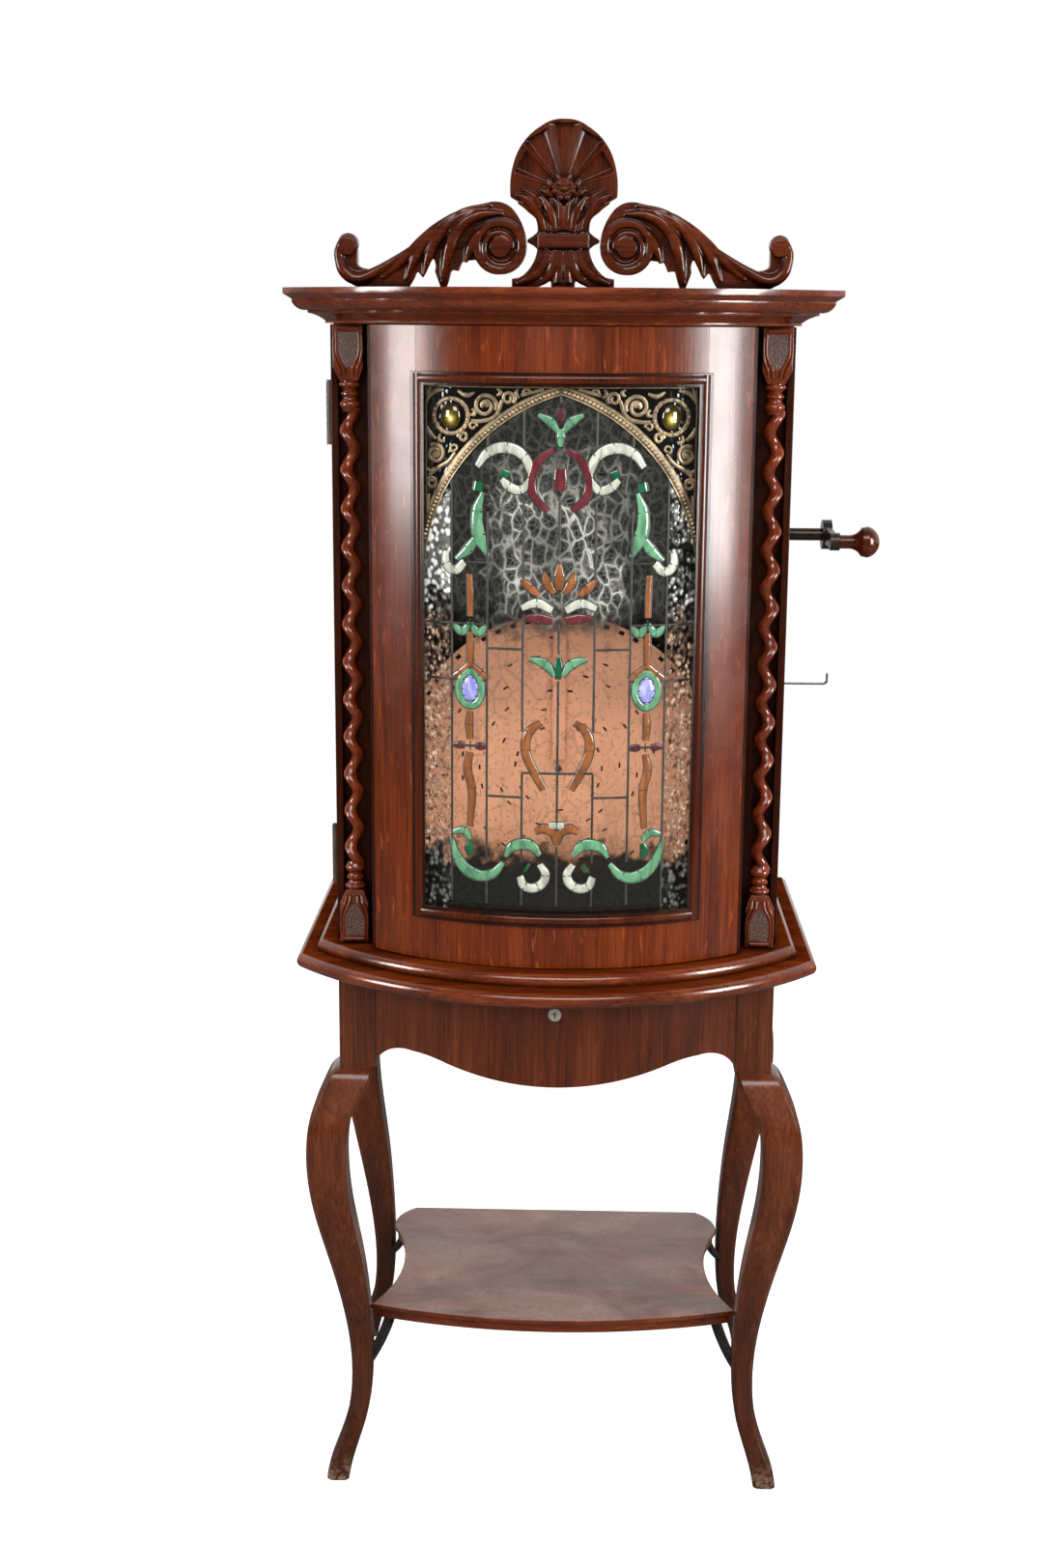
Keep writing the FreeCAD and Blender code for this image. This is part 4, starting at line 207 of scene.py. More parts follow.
class Finish:
    """A node material, or the world, under construction round its one shader."""

    def __init__(self, target, **values):
        self.material = bpy.data.materials.new(target) if isinstance(target, str) else target
        self.material.use_nodes = True
        self.tree = self.material.node_tree
        self.shader = next(node for node in self.tree.nodes if node.outputs)
        for socket, value in values.items():
            self.shader.inputs[socket.replace("_", " ")].default_value = value
        self.coordinates = self.add("TexCoord", "Object")

    def add(self, kind, result, inputs=(), **choices):
        node = self.tree.nodes.new("ShaderNode" + kind)
        for choice, value in choices.items():
            setattr(node, choice, value)
        for socket, value in dict(inputs).items():
            if isinstance(value, Value):
                self.tree.links.new(value.socket, node.inputs[socket])
            else:
                node.inputs[socket].default_value = value
        return Value(self, node.outputs[result])

    def axes(self, vector=None):
        """X, Y and Z of a vector, or else of the place on the object."""
        split = self.add("SeparateXYZ", "X", {"Vector": vector or self.coordinates})
        return [Value(self, output) for output in split.socket.node.outputs]

    def upward(self):
        """How far a face looks up: one when it is level."""
        return self.axes(self.add("NewGeometry", "Normal"))[2]

    def stretched(self, scale, place=(0, 0, 0), turn=(0, 0, 0), vector=None):
        return self.add("Mapping", "Vector", {"Vector": vector or self.coordinates, "Location": place,
                                              "Scale": three(scale), "Rotation": turn})

    def noise(self, scale, detail, rough=0.55, bend=0.0, **place):
        return self.add("TexNoise", "Fac", {"Vector": self.stretched(scale, **place), "Scale": 1.0,
                                            "Detail": detail, "Roughness": rough, "Distortion": bend})

    def cells(self, scale, feature="F1", **place):
        return self.add("TexVoronoi", "Distance", {"Vector": self.stretched(scale, **place),
                                                   "Scale": 1.0}, feature=feature)

    def ramp(self, value, *stops):
        """Tone of a value; each stop is a place and its tone."""
        result = self.add("ValToRGB", "Color", {"Fac": value})
        elements = result.socket.node.color_ramp.elements
        while len(elements) < len(stops):
            elements.new(0.5)
        for element, (at, tone) in zip(elements, stops):
            element.position = at
            element.color = (*three(tone), 1)
        return result

    def span(self, value, low, high, start=0.0, end=1.0):
        """Carries low to high over to start and end, and stops there."""
        return self.add("MapRange", "Result", {"Value": value, "From Min": low, "From Max": high,
                                               "To Min": start, "To Max": end})

    def mix(self, share, first, second):
        first, second = (tone if isinstance(tone, Value) else (*tone, 1) for tone in (first, second))
        return self.add("Mix", 2, {0: share, 6: first, 7: second}, data_type="RGBA")

    def hollows(self, reach, *stops):
        """Ramp from the hollows, found within reach in millimetres, to the open places."""
        return self.ramp(self.add("AmbientOcclusion", "AO", {"Distance": reach * MM}, samples=6), *stops)

    def feed(self, socket, value):
        self.tree.links.new(value.socket, self.shader.inputs[socket])

    def over(self, share, tone):
        """Lays a tone over the base colour fed so far."""
        below = Value(self, self.shader.inputs["Base Color"].links[0].from_socket)
        self.feed("Base Color", self.mix(share, below, tone))

    def bump(self, height, strength, depth):
        self.feed("Normal", self.add("Bump", "Normal", {"Height": height, "Strength": strength,
                                                        "Distance": depth}))


FINISHES = {}


def finish(name, build, *values):
    """One material for each name, built once."""
    if name not in FINISHES:
        FINISHES[name] = build(name, *values).material
    return FINISHES[name]


def stained_oak(name, grain, tone, figure, carved=0.0, gloss=0.45, shine=1.0):
    """Oak under a red-brown stain: pores, fibre, broad figure and a few pale ray flecks; carved paints
    shade into its hollows.
    """
    wood = settings().wood
    dark, middle, light = (toned(stain, tone) for stain in (wood.dark, wood.middle, wood.light))
    oak = Finish(name, Specular_IOR_Level=shine * max(0.5 - 0.6 * gloss, 0.1),
                 Coat_Weight=min(shine * gloss, 1.0), Coat_Roughness=0.16)
    fibre = oak.noise(along(grain, 420, 9), 4, 0.6, 0.15)
    broad = oak.noise(along(grain, 26, 2.6), 3, 0.6, 0.6)
    pores = oak.noise(along(grain, 1100, 42), 1, 0.4)
    flecks = oak.noise(along(grain, 150, 24), 2, 0.5, 0.5, turn=(0.0, 0.45, 0.0))
    figured = oak.mix(0.42, oak.ramp(broad, (0.25, 0.0), (0.75, 1.0)),
                      oak.ramp(fibre, (0.3, 0.0), (0.72, 1.0)))
    skin = oak.ramp(figured, (0.12, dark), (0.5, middle), (0.93, light))
    skin = oak.mix(oak.ramp(flecks, (0.64, 0.0), (0.69, 0.32 * figure)), skin, toned(light, 1.5))
    skin = oak.mix(oak.ramp(pores, (0.62, 0.0), (0.72, 0.55)), skin, dark)
    # Painted shade: the hollows, found by ambient occlusion, are darkened as strongly as carved asks
    if carved:
        skin = oak.mix(oak.hollows(14, (0.36, carved), (0.92, 0.0)), skin, toned(dark, 0.25))
    oak.feed("Base Color", skin)
    oak.feed("Roughness", oak.span(oak.noise(14, 3, 0.6), 0.3, 0.7, wood.roughness - 0.06,
                                   wood.roughness + 0.08))
    oak.bump(fibre + pores * -0.7, 0.22, 0.0004)
    return oak


def dusty_sheen_oak(name):
    """The shelf's top: stained oak, worn, with dark marks, painted shade in its hollows, and pale clouds
    on its level faces that are dust and painted sheen.
    """
    oak = stained_oak(name, "X", (1.0, 1.2, 2.0), 0.5, 0.5, 0.3)
    clouds = oak.ramp(oak.noise((7, 9, 7), 5, 0.65, 0.8), (0.36, 0.0), (0.66, 0.6))
    grit = oak.ramp(oak.noise((150, 260, 150), 3, 0.7), (0.4, 0.55), (0.6, 1.0))
    marks = oak.ramp(oak.noise((24, 30, 24), 4, 0.7, place=(5, 2, 0)), (0.6, 0.0), (0.7, 0.7))
    top = oak.upward() > 0.8
    # Pale clouds on the level top: dust, and a painted sheen
    oak.over(clouds * grit * top, (0.25, 0.165, 0.13))
    oak.over(marks * top, (0.03, 0.011, 0.007))
    return oak


def level_oak(name):
    """Boards with the grain across, with painted shade in their hollows; their upper faces are dusty and
    dull.
    """
    # Painted shade darkens the hollows of the mouldings
    oak = stained_oak(name, "X", (1.05, 1.12, 1.5), 0.6, 0.85, 0.7, 1.4)
    for socket, bright, dull in (("Coat Weight", 1.0, 0.0), ("Specular IOR Level", 0.14, 0.0),
                                 ("Roughness", 0.26, 0.65)):
        oak.feed(socket, oak.span(oak.upward(), 0.9, 0.97, bright, dull))
    return oak


def worn_leg(name):
    """Stained oak that darkens towards the floor and is rubbed pale at the toes."""
    oak = stained_oak(name, "Z", (0.88, 1.3, 2.8), 0.8, 0.5, 0.55)
    height = oak.axes()[2]
    rubbed = oak.ramp(oak.noise((90, 90, 140), 4, 0.7), (0.46, 0.0), (0.6, 0.8))
    oak.over(oak.span(height, 0.42, 0.02, 0.0, 0.62), (0.02, 0.0075, 0.004))
    oak.over(oak.span(height, 0.035, 0.0) * rubbed, (0.23, 0.15, 0.095))
    return oak


def stippled_oak(name):
    """Punched ground of a carved panel: painted shade in its pits, and a greyish tone on its high places
    for dust and painted sheen.
    """
    oak = Finish(name, Roughness=0.42)
    dots = oak.cells(700, "SMOOTH_F1")
    # Dark pits are painted shade; the greyish high places are dust and painted sheen
    oak.feed("Base Color", oak.ramp(dots, (0.15, (0.016, 0.006, 0.004)), (0.45, (0.06, 0.028, 0.02)),
                                    (0.75, (0.11, 0.062, 0.048))))
    oak.bump(dots, 0.8, 0.0012)
    return oak


def plain_oak(name):
    """Unstained, oiled wood of the drawer and the boards inside."""
    oak = Finish(name, Roughness=0.6)
    fibre = oak.noise(along("X", 380, 8), 4, 0.6, 0.2)
    broad = oak.noise(along("X", 22, 2), 3, 0.6, 0.5)
    oak.feed("Base Color", oak.ramp(oak.mix(0.5, broad, fibre), (0.3, (0.07, 0.032, 0.014)),
                                    (0.55, (0.15, 0.078, 0.036)), (0.8, (0.23, 0.13, 0.066))))
    oak.bump(fibre, 0.25, 0.0004)
    return oak


def aged_brass(name, depth=1.0):
    """Brass with clouds and spots of tarnish, dark in its hollows; a depth below one darkens it."""
    metal = settings().metal
    brass = Finish(name, Metallic=0.55, Specular_IOR_Level=0.6)
    spots = brass.noise(160, 4, 0.65)
    clouds = brass.noise(34, 3, 0.6)
    share = brass.ramp(brass.mix(0.5, spots, clouds), (0.36, 0.0), (0.62, 1.0))
    brass.feed("Base Color", brass.mix(share, toned(metal.tarnish, depth), toned(metal.brass, depth)))
    brass.over(brass.hollows(2.5, (0.35, 0.9), (0.85, 0.0)), (0.02, 0.013, 0.008))
    brass.feed("Roughness", brass.span(clouds, 0.3, 0.7, 0.46, 0.3))
    brass.bump(spots, 0.25, 0.0003)
    return brass


def worn_metal(name, light, dark, metallic, rough, brushed=None):
    """Iron, steel or lead with stains and grit, brushed along one axis if that is named."""
    metal = Finish(name, Metallic=metallic)
    stains = metal.noise(40, 4, 0.65)
    grain = metal.noise(along(brushed, 1300, 26) if brushed else 260, 2, 0.6)
    share = metal.ramp(metal.mix(0.35, stains, grain), (0.36, 0.0), (0.66, 1.0))
    metal.feed("Base Color", metal.mix(share, dark, light))
    metal.feed("Roughness", metal.span(stains + grain, 0.7, 1.3, rough - 0.08, rough + 0.1))
    metal.bump(grain, 0.2, 0.0002)
    return metal


def coppered_disc(name, punched=True):
    """Coppered steel with fine stains; punched adds short marks in rows round the middle, tarnish with
    painted shade below it, and pale threads.
    """
    disc = Finish(name, Metallic=0.0, Specular_IOR_Level=0.4)
    copper = tuple(settings().metal.copper)
    stains = disc.noise(30, 5, 0.7)
    spots = disc.noise(260, 3, 0.6)
    disc.feed("Base Color", disc.ramp(disc.mix(0.45, stains, spots), (0.28, toned(copper, 0.62)),
                                      (0.4, toned(copper, 0.94)), (0.55, copper)))
    disc.feed("Roughness", disc.span(stains, 0.3, 0.7, 0.5, 0.34))
    if punched:
        x, _, z = disc.axes()
        rise = z - DISC_HEIGHT * MM
        rows = distance(x, rise) / (DISC_ROW * MM)
        row = rows.floor()
        turns = rise.bearing(x) * (row * 0.42)
        place = disc.add("CombineXYZ", "Vector", {"X": turns.floor(), "Y": row})
        chance = disc.add("TexWhiteNoise", "Value", {"Vector": place}, noise_dimensions="3D")
        mark = rows.fraction().near(0.5, 0.15) * turns.fraction().near(0.5, 0.26) * (chance > 0.8)
        disc.over(mark * 0.34, (0.22, 0.105, 0.062))
        # Clouds of tarnish, laid only below the middle so that they also paint shade over the disc's
        # lower part, and a web of pale threads
        tarnish_and_shade = disc.ramp(disc.noise(13, 5, 0.65, 0.6), (0.44, 0.0), (0.66, 0.62))
        disc.over(tarnish_and_shade * disc.span(rise, 0.02, -0.15), (0.27, 0.17, 0.075))
        web = disc.ramp(disc.cells((44, 44, 34), "DISTANCE_TO_EDGE"), (0.02, 0.38), (0.07, 0.0))
        patch = disc.ramp(disc.noise(9, 3, 0.6, place=(2, 0, 0)), (0.46, 0.0), (0.58, 1.0))
        disc.over(web * patch, (0.42, 0.2, 0.12))
        disc.bump(mark, 0.5, 0.0008)
    return disc


def coloured_glass(name, tone):
    """Streaky coloured glass seen against the dark case."""
    glass = Finish(name, Roughness=0.16, IOR=1.5, Coat_Weight=0.5, Coat_Roughness=0.06)
    streaks = glass.noise((55, 55, 18), 4, 0.6, 1.6)
    glass.feed("Base Color", glass.mix(glass.ramp(streaks, (0.34, 0.0), (0.68, 1.0)), toned(tone, 0.62),
                                       tuple(min(0.7, value * 1.45) for value in tone)))
    glass.bump(streaks + glass.cells(240) * 0.5, 0.35, 0.0008)
    return glass


def rippled_pane(name):
    """Clear rippled glass: hammered at the sides, crackled above, seedy over the disc, with painted shade
    where the case behind is dark and painted glints and shine on its marks.
    """
    pane = Finish(name, Roughness=0.1, IOR=1.5)
    x, _, z = pane.axes()
    sides = abs(x) > HAMMERED_EDGE * MM
    wander = (pane.noise(45, 3) - 0.5) * 0.11
    level = z + wander
    # Above the disc the glass is veiled near black as painted shade for the dim case behind, and a band
    # at the window's foot is veiled near black too
    upper = pane.span(level, 1.152, 1.19)
    foot = pane.span(level, 0.896, 0.874)
    dark = upper.most(foot)
    clear = 1.0 - dark
    # Crackle, strongest in a patch in the middle; its lines are also painted light grey on the dark veil,
    # a painted reflection
    warp = pane.add("TexNoise", "Color", {"Vector": pane.coordinates, "Scale": 42.0, "Detail": 3.0})
    bent = pane.add("VectorMath", "Vector", {0: warp, 1: three(0.016), 2: pane.coordinates},
                    operation="MULTIPLY_ADD")
    crackle = pane.ramp(pane.cells((78, 78, 48), "DISTANCE_TO_EDGE", vector=bent), (0.0, 1.0),
                        (0.045, 0.72), (0.13, 0.12), (0.3, 0.0))
    threads = pane.ramp(pane.cells(150, "DISTANCE_TO_EDGE", vector=bent), (0.0, 0.42), (0.07, 0.15),
                        (0.14, 0.0))
    patch = pane.ramp(pane.noise((16, 16, 11), 2, 0.5, place=(3, 0, 0)), (0.38, 0.35), (0.58, 1.0))
    patch = patch * pane.span(abs(x + wander), 0.088, 0.06) * pane.span(level, 1.375, 1.32)
    veins = crackle.most(threads) * (patch + 0.1) * upper
    grain = pane.ramp(pane.noise((420, 420, 300), 2, 0.6), (0.4, 0.0), (0.75, 1.0))
    # Hammer marks with painted glints, brighter towards the stiles, and one painted glare on the left
    hammer = pane.ramp(pane.cells((190, 190, 150), "SMOOTH_F1"), (0.18, 1.0), (0.5, 0.0))
    spark = hammer * pane.span(abs(x), HAMMERED_EDGE * MM, 0.15, 0.45, 1.25) * pane.ramp(
        pane.noise((120, 120, 60), 3), (0.36, 0.1), (0.56, 1.0))
    spark = spark + (x < -0.129) * level.near(1.262, 0.055) * (hammer * 0.55 + 0.22)
    # Behind the brass corners the glass is painted near black and almost opaque, painted shade with no
    # glints
    reach = distance(abs(x) + ARCH_CENTRE * MM, z - ARCH_LEVEL * MM)
    corner = (reach > (ARCH_RADIUS - 4) * MM) * (z > ARCH_LEVEL * MM)
    # The painted shine of crackle, grain and glints, only within the dark veil
    painted_shine = pane.mix(sides, veins * 0.62 + grain * 0.05, spark) * (foot * -0.55 + dark) * (1.0 - corner)
    tint = pane.ramp(painted_shine, (0.0, (0.007, 0.007, 0.006)), (0.5, (0.24, 0.235, 0.21)),
                     (1.0, (0.86, 0.86, 0.84)))
    tint = pane.mix(corner, tint, three(0.004))
    # Seeds and blots over the disc
    seeds = pane.ramp(pane.noise((210, 210, 190), 3, 0.6), (0.6, 0.0), (0.66, 1.0))
    blots = pane.ramp(pane.noise((170, 170, 120), 2, 0.5, place=(1, 4, 0)), (0.57, 0.0), (0.61, 1.0))
    speck = seeds.most(blots * sides) * clear
    glint = spark * clear * sides
    tint = pane.mix(speck, tint, (0.085, 0.048, 0.03))
    # Painted copper glints on the hammered panes over the disc
    pane.feed("Base Color", pane.mix(glint * 0.8, tint, (1.0, 0.66, 0.46)))
    veil = (foot * 0.18 + 0.008 + dark * 0.72 + painted_shine * 0.3).most(corner * 0.96)
    veil = veil.most(speck * (sides * 0.45 + 0.34)).most(glint * 0.85)
    pane.feed("Alpha", pane.add("Clamp", "Result", {"Value": veil, "Min": 0.01, "Max": 0.96}))
    pane.bump(pane.mix(sides, veins, hammer), 0.35, 0.0008)
    return pane


def jewel_glass(name):
    """Amber glass with a painted highlight just below the middle of each jewel, fading to painted shade
    at its rim.
    """
    jewel = Finish(name, Roughness=0.08, IOR=1.6, Coat_Weight=0.9, Coat_Roughness=0.03)
    x, _, z = jewel.axes()
    middle, height = JEWEL_PLACE
    reach = distance(abs(x) - middle * MM, (z - (height - 2.5) * MM) * 0.8)
    depth = jewel.noise((130, 130, 90), 3, 0.5, 1.4) * 0.3 + reach * 72.0
    # Painted highlight at the middle, fading to painted shade at the rim
    jewel.feed("Base Color", jewel.ramp(depth, (0.2, (0.84, 0.8, 0.44)), (0.38, (0.3, 0.23, 0.024)),
                                        (0.6, (0.07, 0.047, 0.003)), (0.84, (0.024, 0.016, 0.001))))
    return jewel


# Making and placing pieces

def show(name, data):
    """A new object in the scene."""
    thing = bpy.data.objects.new(name, data)
    bpy.context.scene.collection.objects.link(thing)
    return thing


def solid(name, skin):
    """The mesh of a working skin, which is then given up."""
    mesh = bpy.data.meshes.new(name)
    skin.to_mesh(mesh)
    skin.free()
    return mesh


def settled(holder):
    """The mesh that an object comes to, without the object."""
    mesh = bpy.data.meshes.new_from_object(holder.evaluated_get(bpy.context.evaluated_depsgraph_get()))
    bpy.data.objects.remove(holder)
    return mesh


def put(name, mesh, material, node, extra=False):
    """Shows a mesh as the piece that stands for a node, or as an extra that goes with it."""
    mesh.materials.clear()
    mesh.materials.append(material)
    piece = show(name, mesh)
    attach(piece, BODY_OF[node])
    if not extra:
        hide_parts(node)
    return piece


def shade(mesh, angle=32):
    for polygon in mesh.polygons:
        polygon.use_smooth = True
    mesh.set_sharp_from_angle(angle=math.radians(angle))


def merged_copy(node):
    """A node's mesh as one skin, with its flat faces whole again."""
    skin = bmesh.new()
    skin.from_mesh(frame["nodes"][node].data)
    bmesh.ops.remove_doubles(skin, verts=skin.verts, dist=2e-6)
    bmesh.ops.dissolve_limit(skin, angle_limit=math.radians(0.35), verts=skin.verts,
                             edges=skin.edges)
    return skin


def dress(material, *nodes, edge=None, angle=32):
    """Shows nodes in their own shapes, smoothly shaded, with their arrises softened."""
    width = settings().wood.edge if edge is None else edge
    for node in nodes:
        mesh = solid(node + "_skin", merged_copy(node))
        shade(mesh, angle)
        piece = put(node + "_piece", mesh, material, node)
        if width:
            bevel = piece.modifiers.new("softened", "BEVEL")
            bevel.width = width * MM
            bevel.segments = 2
            bevel.limit_method = "ANGLE"
            bevel.angle_limit = math.radians(angle)
            bevel.use_clamp_overlap = True
            bevel.harden_normals = True


class Strokes:
    """Tapered strokes drawn in the front plane, x and height in millimetres, made one mesh."""

    def __init__(self, flat, sides=5):
        self.curve = bpy.data.curves.new("strokes", "CURVE")
        self.curve.dimensions = "3D"
        self.curve.bevel_depth = MM
        self.curve.bevel_resolution = sides
        self.curve.resolution_u = 8
        self.curve.use_fill_caps = True
        self.curve.use_radius = True
        self.flat = flat

    def draw(self, *strokes, grow=0.0, proud=0.0, closed=False):
        """Points are x, height and radius; a stroke is mirrored unless it balances on the middle."""
        for stroke in strokes:
            for side in ((1, -1) if sum(x for x, height, radius in stroke) else (1,)):
                line = self.curve.splines.new("BEZIER")
                line.bezier_points.add(len(stroke) - 1)
                for spot, (x, height, radius) in zip(line.bezier_points, stroke):
                    spot.co = (side * x * MM, -proud * MM / self.flat, height * MM)
                    spot.radius = radius + grow
                    spot.handle_left_type = spot.handle_right_type = "AUTO"
                line.use_cyclic_u = closed
        return self

    def mesh(self, place):
        """Flattened front to back and carried to its place by a function of the corner."""
        drawn = settled(show("strokes", self.curve))
        skin = bmesh.new()
        skin.from_mesh(drawn)
        bmesh.ops.remove_doubles(skin, verts=skin.verts, dist=1e-6)
        for corner in skin.verts:
            corner.co.y = corner.co.y * self.flat + place(corner.co)
        bmesh.ops.recalc_face_normals(skin, faces=skin.faces)
        skin.to_mesh(drawn)
        skin.free()
        shade(drawn, 50)
        return drawn


def studs(spots, flat, place):
    """Round studs, mirrored: x, height, radius and how far each stands proud."""
    skin = bmesh.new()
    for x, height, radius, proud in spots:
        for side in (1, -1):
            spot = Vector((side * x * MM, 0, height * MM))
            spot.y = place(spot) - proud * MM
            bmesh.ops.create_icosphere(skin, subdivisions=2, radius=radius * MM, matrix=(
                Matrix.Translation(spot) @ Matrix.Diagonal((1, flat, 1, 1))))
    return skin


def on_glass(depth=0.0):
    """Places a stroke on the bowed glass, proud of it by depth."""
    radius = (GLASS_RADIUS + depth) * MM
    return lambda spot: BOW_CENTRE * MM - math.sqrt(radius * radius - spot.x * spot.x)


def on_crest(depth=0.0):
    return lambda spot: (CREST_FRONT - depth) * MM


def spiral(x, height, start, turn, outer, inner, width_out, width_in, count):
    """Stroke points of a scroll that winds in from outer to inner."""
    points = []
    for step in range(count):
        share = step / (count - 1)
        bearing = math.radians(start + turn * share)
        reach = outer + (inner - outer) * share
        points.append((x + reach * math.cos(bearing), height + reach * math.sin(bearing),
                       width_out + (width_in - width_out) * share))
    return points


def turned(profile, x, y, count=40):
    """Closed turning about an upright axis: profile is radius and height."""
    skin = bmesh.new()
    line = [skin.verts.new((radius * MM, 0, height * MM)) for radius, height in profile]
    edges = [skin.edges.new(pair) for pair in zip(line, line[1:])]
    bmesh.ops.spin(skin, geom=line + edges, cent=(0, 0, 0), axis=(0, 0, 1), angle=2 * math.pi,
                   steps=count, use_merge=True)
    bmesh.ops.remove_doubles(skin, verts=skin.verts, dist=1e-6)
    bmesh.ops.holes_fill(skin, edges=skin.edges, sides=count + 1)
    bmesh.ops.translate(skin, verts=skin.verts, vec=(x * MM, y * MM, 0))
    bmesh.ops.recalc_face_normals(skin, faces=skin.faces)
    return skin


def join(name, *shapes, angle=32):
    """One mesh from several skins and meshes, which are given up."""
    whole = bmesh.new()
    for shape in shapes:
        part = solid("part", shape) if isinstance(shape, bmesh.types.BMesh) else shape
        whole.from_mesh(part)
        bpy.data.meshes.remove(part)
    mesh = solid(name, whole)
    shade(mesh, angle)
    return mesh


def carve(name, node, shapes, voxel, material):
    """Melts a node's board and the shapes laid on it into one carved piece."""
    holder = show(name, join(name, merged_copy(node), *shapes))
    remesh = holder.modifiers.new("melt", "REMESH")
    remesh.mode = "VOXEL"
    remesh.voxel_size = voxel * MM
    remesh.use_smooth_shade = True
    holder.modifiers.new("rub", "SMOOTH").factor = 0.5
    mesh = settled(holder)
    for polygon in mesh.polygons:
        polygon.use_smooth = True
    put(name, mesh, material, node)


# Operators, one for each group of pieces

class MUSICBOX_OT_cabinet(bpy.types.Operator):
    """Stains the flat and moulded boards of stand, case, door and drawer"""
    bl_idname = "musicbox.cabinet"
    bl_label = "Cabinet Boards"

    # The rounded bead of the window: distance from the middle, foot, head and radius
    SIDE = 167.5
    FOOT = 812
    HEAD = 1452
    ROUND = 5.0

    def execute(self, context):
        dress(finish("oak_upright", stained_oak, "Z", 0.9, 1.0, 0.0, 0.2, 0.35), "case_side_left",
              "case_side_right")
        dress(finish("oak_level", level_oak), "stand_rails", "base_deck", "cornice")
        dress(finish("oak_veneer", stained_oak, "Z", 1.06, 1.5, 0.0, 0.4), "door_stiles", "door_rails",
              edge=0.25)
        dress(finish("oak_apron", stained_oak, "Z", (0.72, 0.86, 1.2), 0.5), "drawer_front")
        # The door posts and the window bead are stained almost black: painted shade for the recess behind
        # the columns and the grooves round the glass
        dress(finish("oak_recess", stained_oak, "Z", 0.25, 0.3, 0.95, 0.1, 0.5), "door_posts")
        dress(finish("oak_shadow", stained_oak, "Z", 0.14, 0.3, 0.95, 0.3), "window_bead", edge=0.5)
        bead = Strokes(0.6)
        bead.draw([(self.SIDE, height, self.ROUND)
                   for height in (self.FOOT - 6, (self.FOOT + self.HEAD) / 2, self.HEAD + 6)])
        for height in (self.FOOT, self.HEAD):
            bead.draw([(x, height, self.ROUND) for x in range(-168, 169, 28)])
        put("window_round", bead.mesh(on_glass(17.5)),
            finish("oak_bead", stained_oak, "Z", 0.55, 0.3, 0.9, 0.6), "window_bead", extra=True)
        dress(finish("oak_shelf", dusty_sheen_oak), "shelf")
        dress(finish("plain_boards", plain_oak), "drawer_runners", "drawer_tray", "case_top")
        dress(finish("back_board", stained_oak, "Z", 0.45, 1.0, 0.0, 0.1, 0.4), "case_back")
        return {"FINISHED"}


class MUSICBOX_OT_legs(bpy.types.Operator):
    """Rounds and stains the four cabriole legs and finishes the strips under the shelf"""
    bl_idname = "musicbox.legs"
    bl_label = "Cabriole Legs"

    def execute(self, context):
        dress(finish("oak_leg", worn_leg), "leg_front_left", "leg_front_right", "leg_rear_left",
              "leg_rear_right", edge=4.0, angle=26)
        dress(finish("iron_strip", worn_metal, (0.06, 0.05, 0.046), (0.02, 0.017, 0.016), 0.8, 0.5),
              "shelf_brackets", edge=0.5)
        return {"FINISHED"}


class MUSICBOX_OT_columns(bpy.types.Operator):
    """Turns the two barley-twist columns"""
    bl_idname = "musicbox.columns"
    bl_label = "Twisted Columns"

    FOOT = 817.2
    HEAD = 1445.8
    # Height of the turned rings at each end, and place of the right column's axis
    RUN = 34.0
    PLACE = (254.0, -195.5)
    # The rings and hollows between block and twist: radius, and height from the column's end
    REEL = ((0.3, -2), (10.5, -2), (10.8, 1), (12.6, 2.2), (13.2, 4), (12.6, 5.8), (10.6, 7.2),
            (8.7, 9), (8.2, 11), (9.4, 12.6), (10.8, 14.2), (10.8, 15.8), (9.4, 17.4),
            (8.2, 19), (8.2, 21), (9.6, 23), (11.4, 24.6), (12.4, 26.8), (12.4, 28.8),
            (11.2, 31), (9.4, 33), (8.6, 36), (0.3, 36))

    def strand(self, side):
        twist = settings().twist
        low = self.FOOT + self.RUN - 3
        high = self.HEAD - self.RUN + 3
        turns = (high - low) / twist.pitch
        skin = bmesh.new()
        ring = bmesh.ops.create_circle(skin, cap_ends=False, radius=twist.strand * MM, segments=20,
                                       matrix=Matrix.Translation((twist.throw * MM, 0, low * MM)))
        steps = int(turns * twist.steps)
        bmesh.ops.spin(skin, geom=ring["verts"] + skin.edges[:], cent=(0, 0, 0), axis=(0, 0, 1),
                       dvec=(0, 0, (high - low) * MM / steps), angle=side * 2 * math.pi * turns,
                       steps=steps, use_merge=False)
        bmesh.ops.holes_fill(skin, edges=skin.edges, sides=24)
        bmesh.ops.translate(skin, verts=skin.verts,
                            vec=(side * self.PLACE[0] * MM, self.PLACE[1] * MM, 0))
        bmesh.ops.recalc_face_normals(skin, faces=skin.faces)
        return skin

    def rings(self, side, foot, way):
        return turned([(radius, foot + way * height) for radius, height in self.REEL],
                      side * self.PLACE[0], self.PLACE[1])

    def execute(self, context):
        skins = []
        for side in (1, -1):
            skins += [self.strand(side), self.rings(side, self.FOOT, 1), self.rings(side, self.HEAD, -1)]
        put("twisted_columns", join("twisted_columns", *skins, angle=40),
            finish("oak_column", stained_oak, "Z", (1.35, 1.35, 2.0), 0.4, 0.9, 0.9, 1.3), "columns")
        return {"FINISHED"}


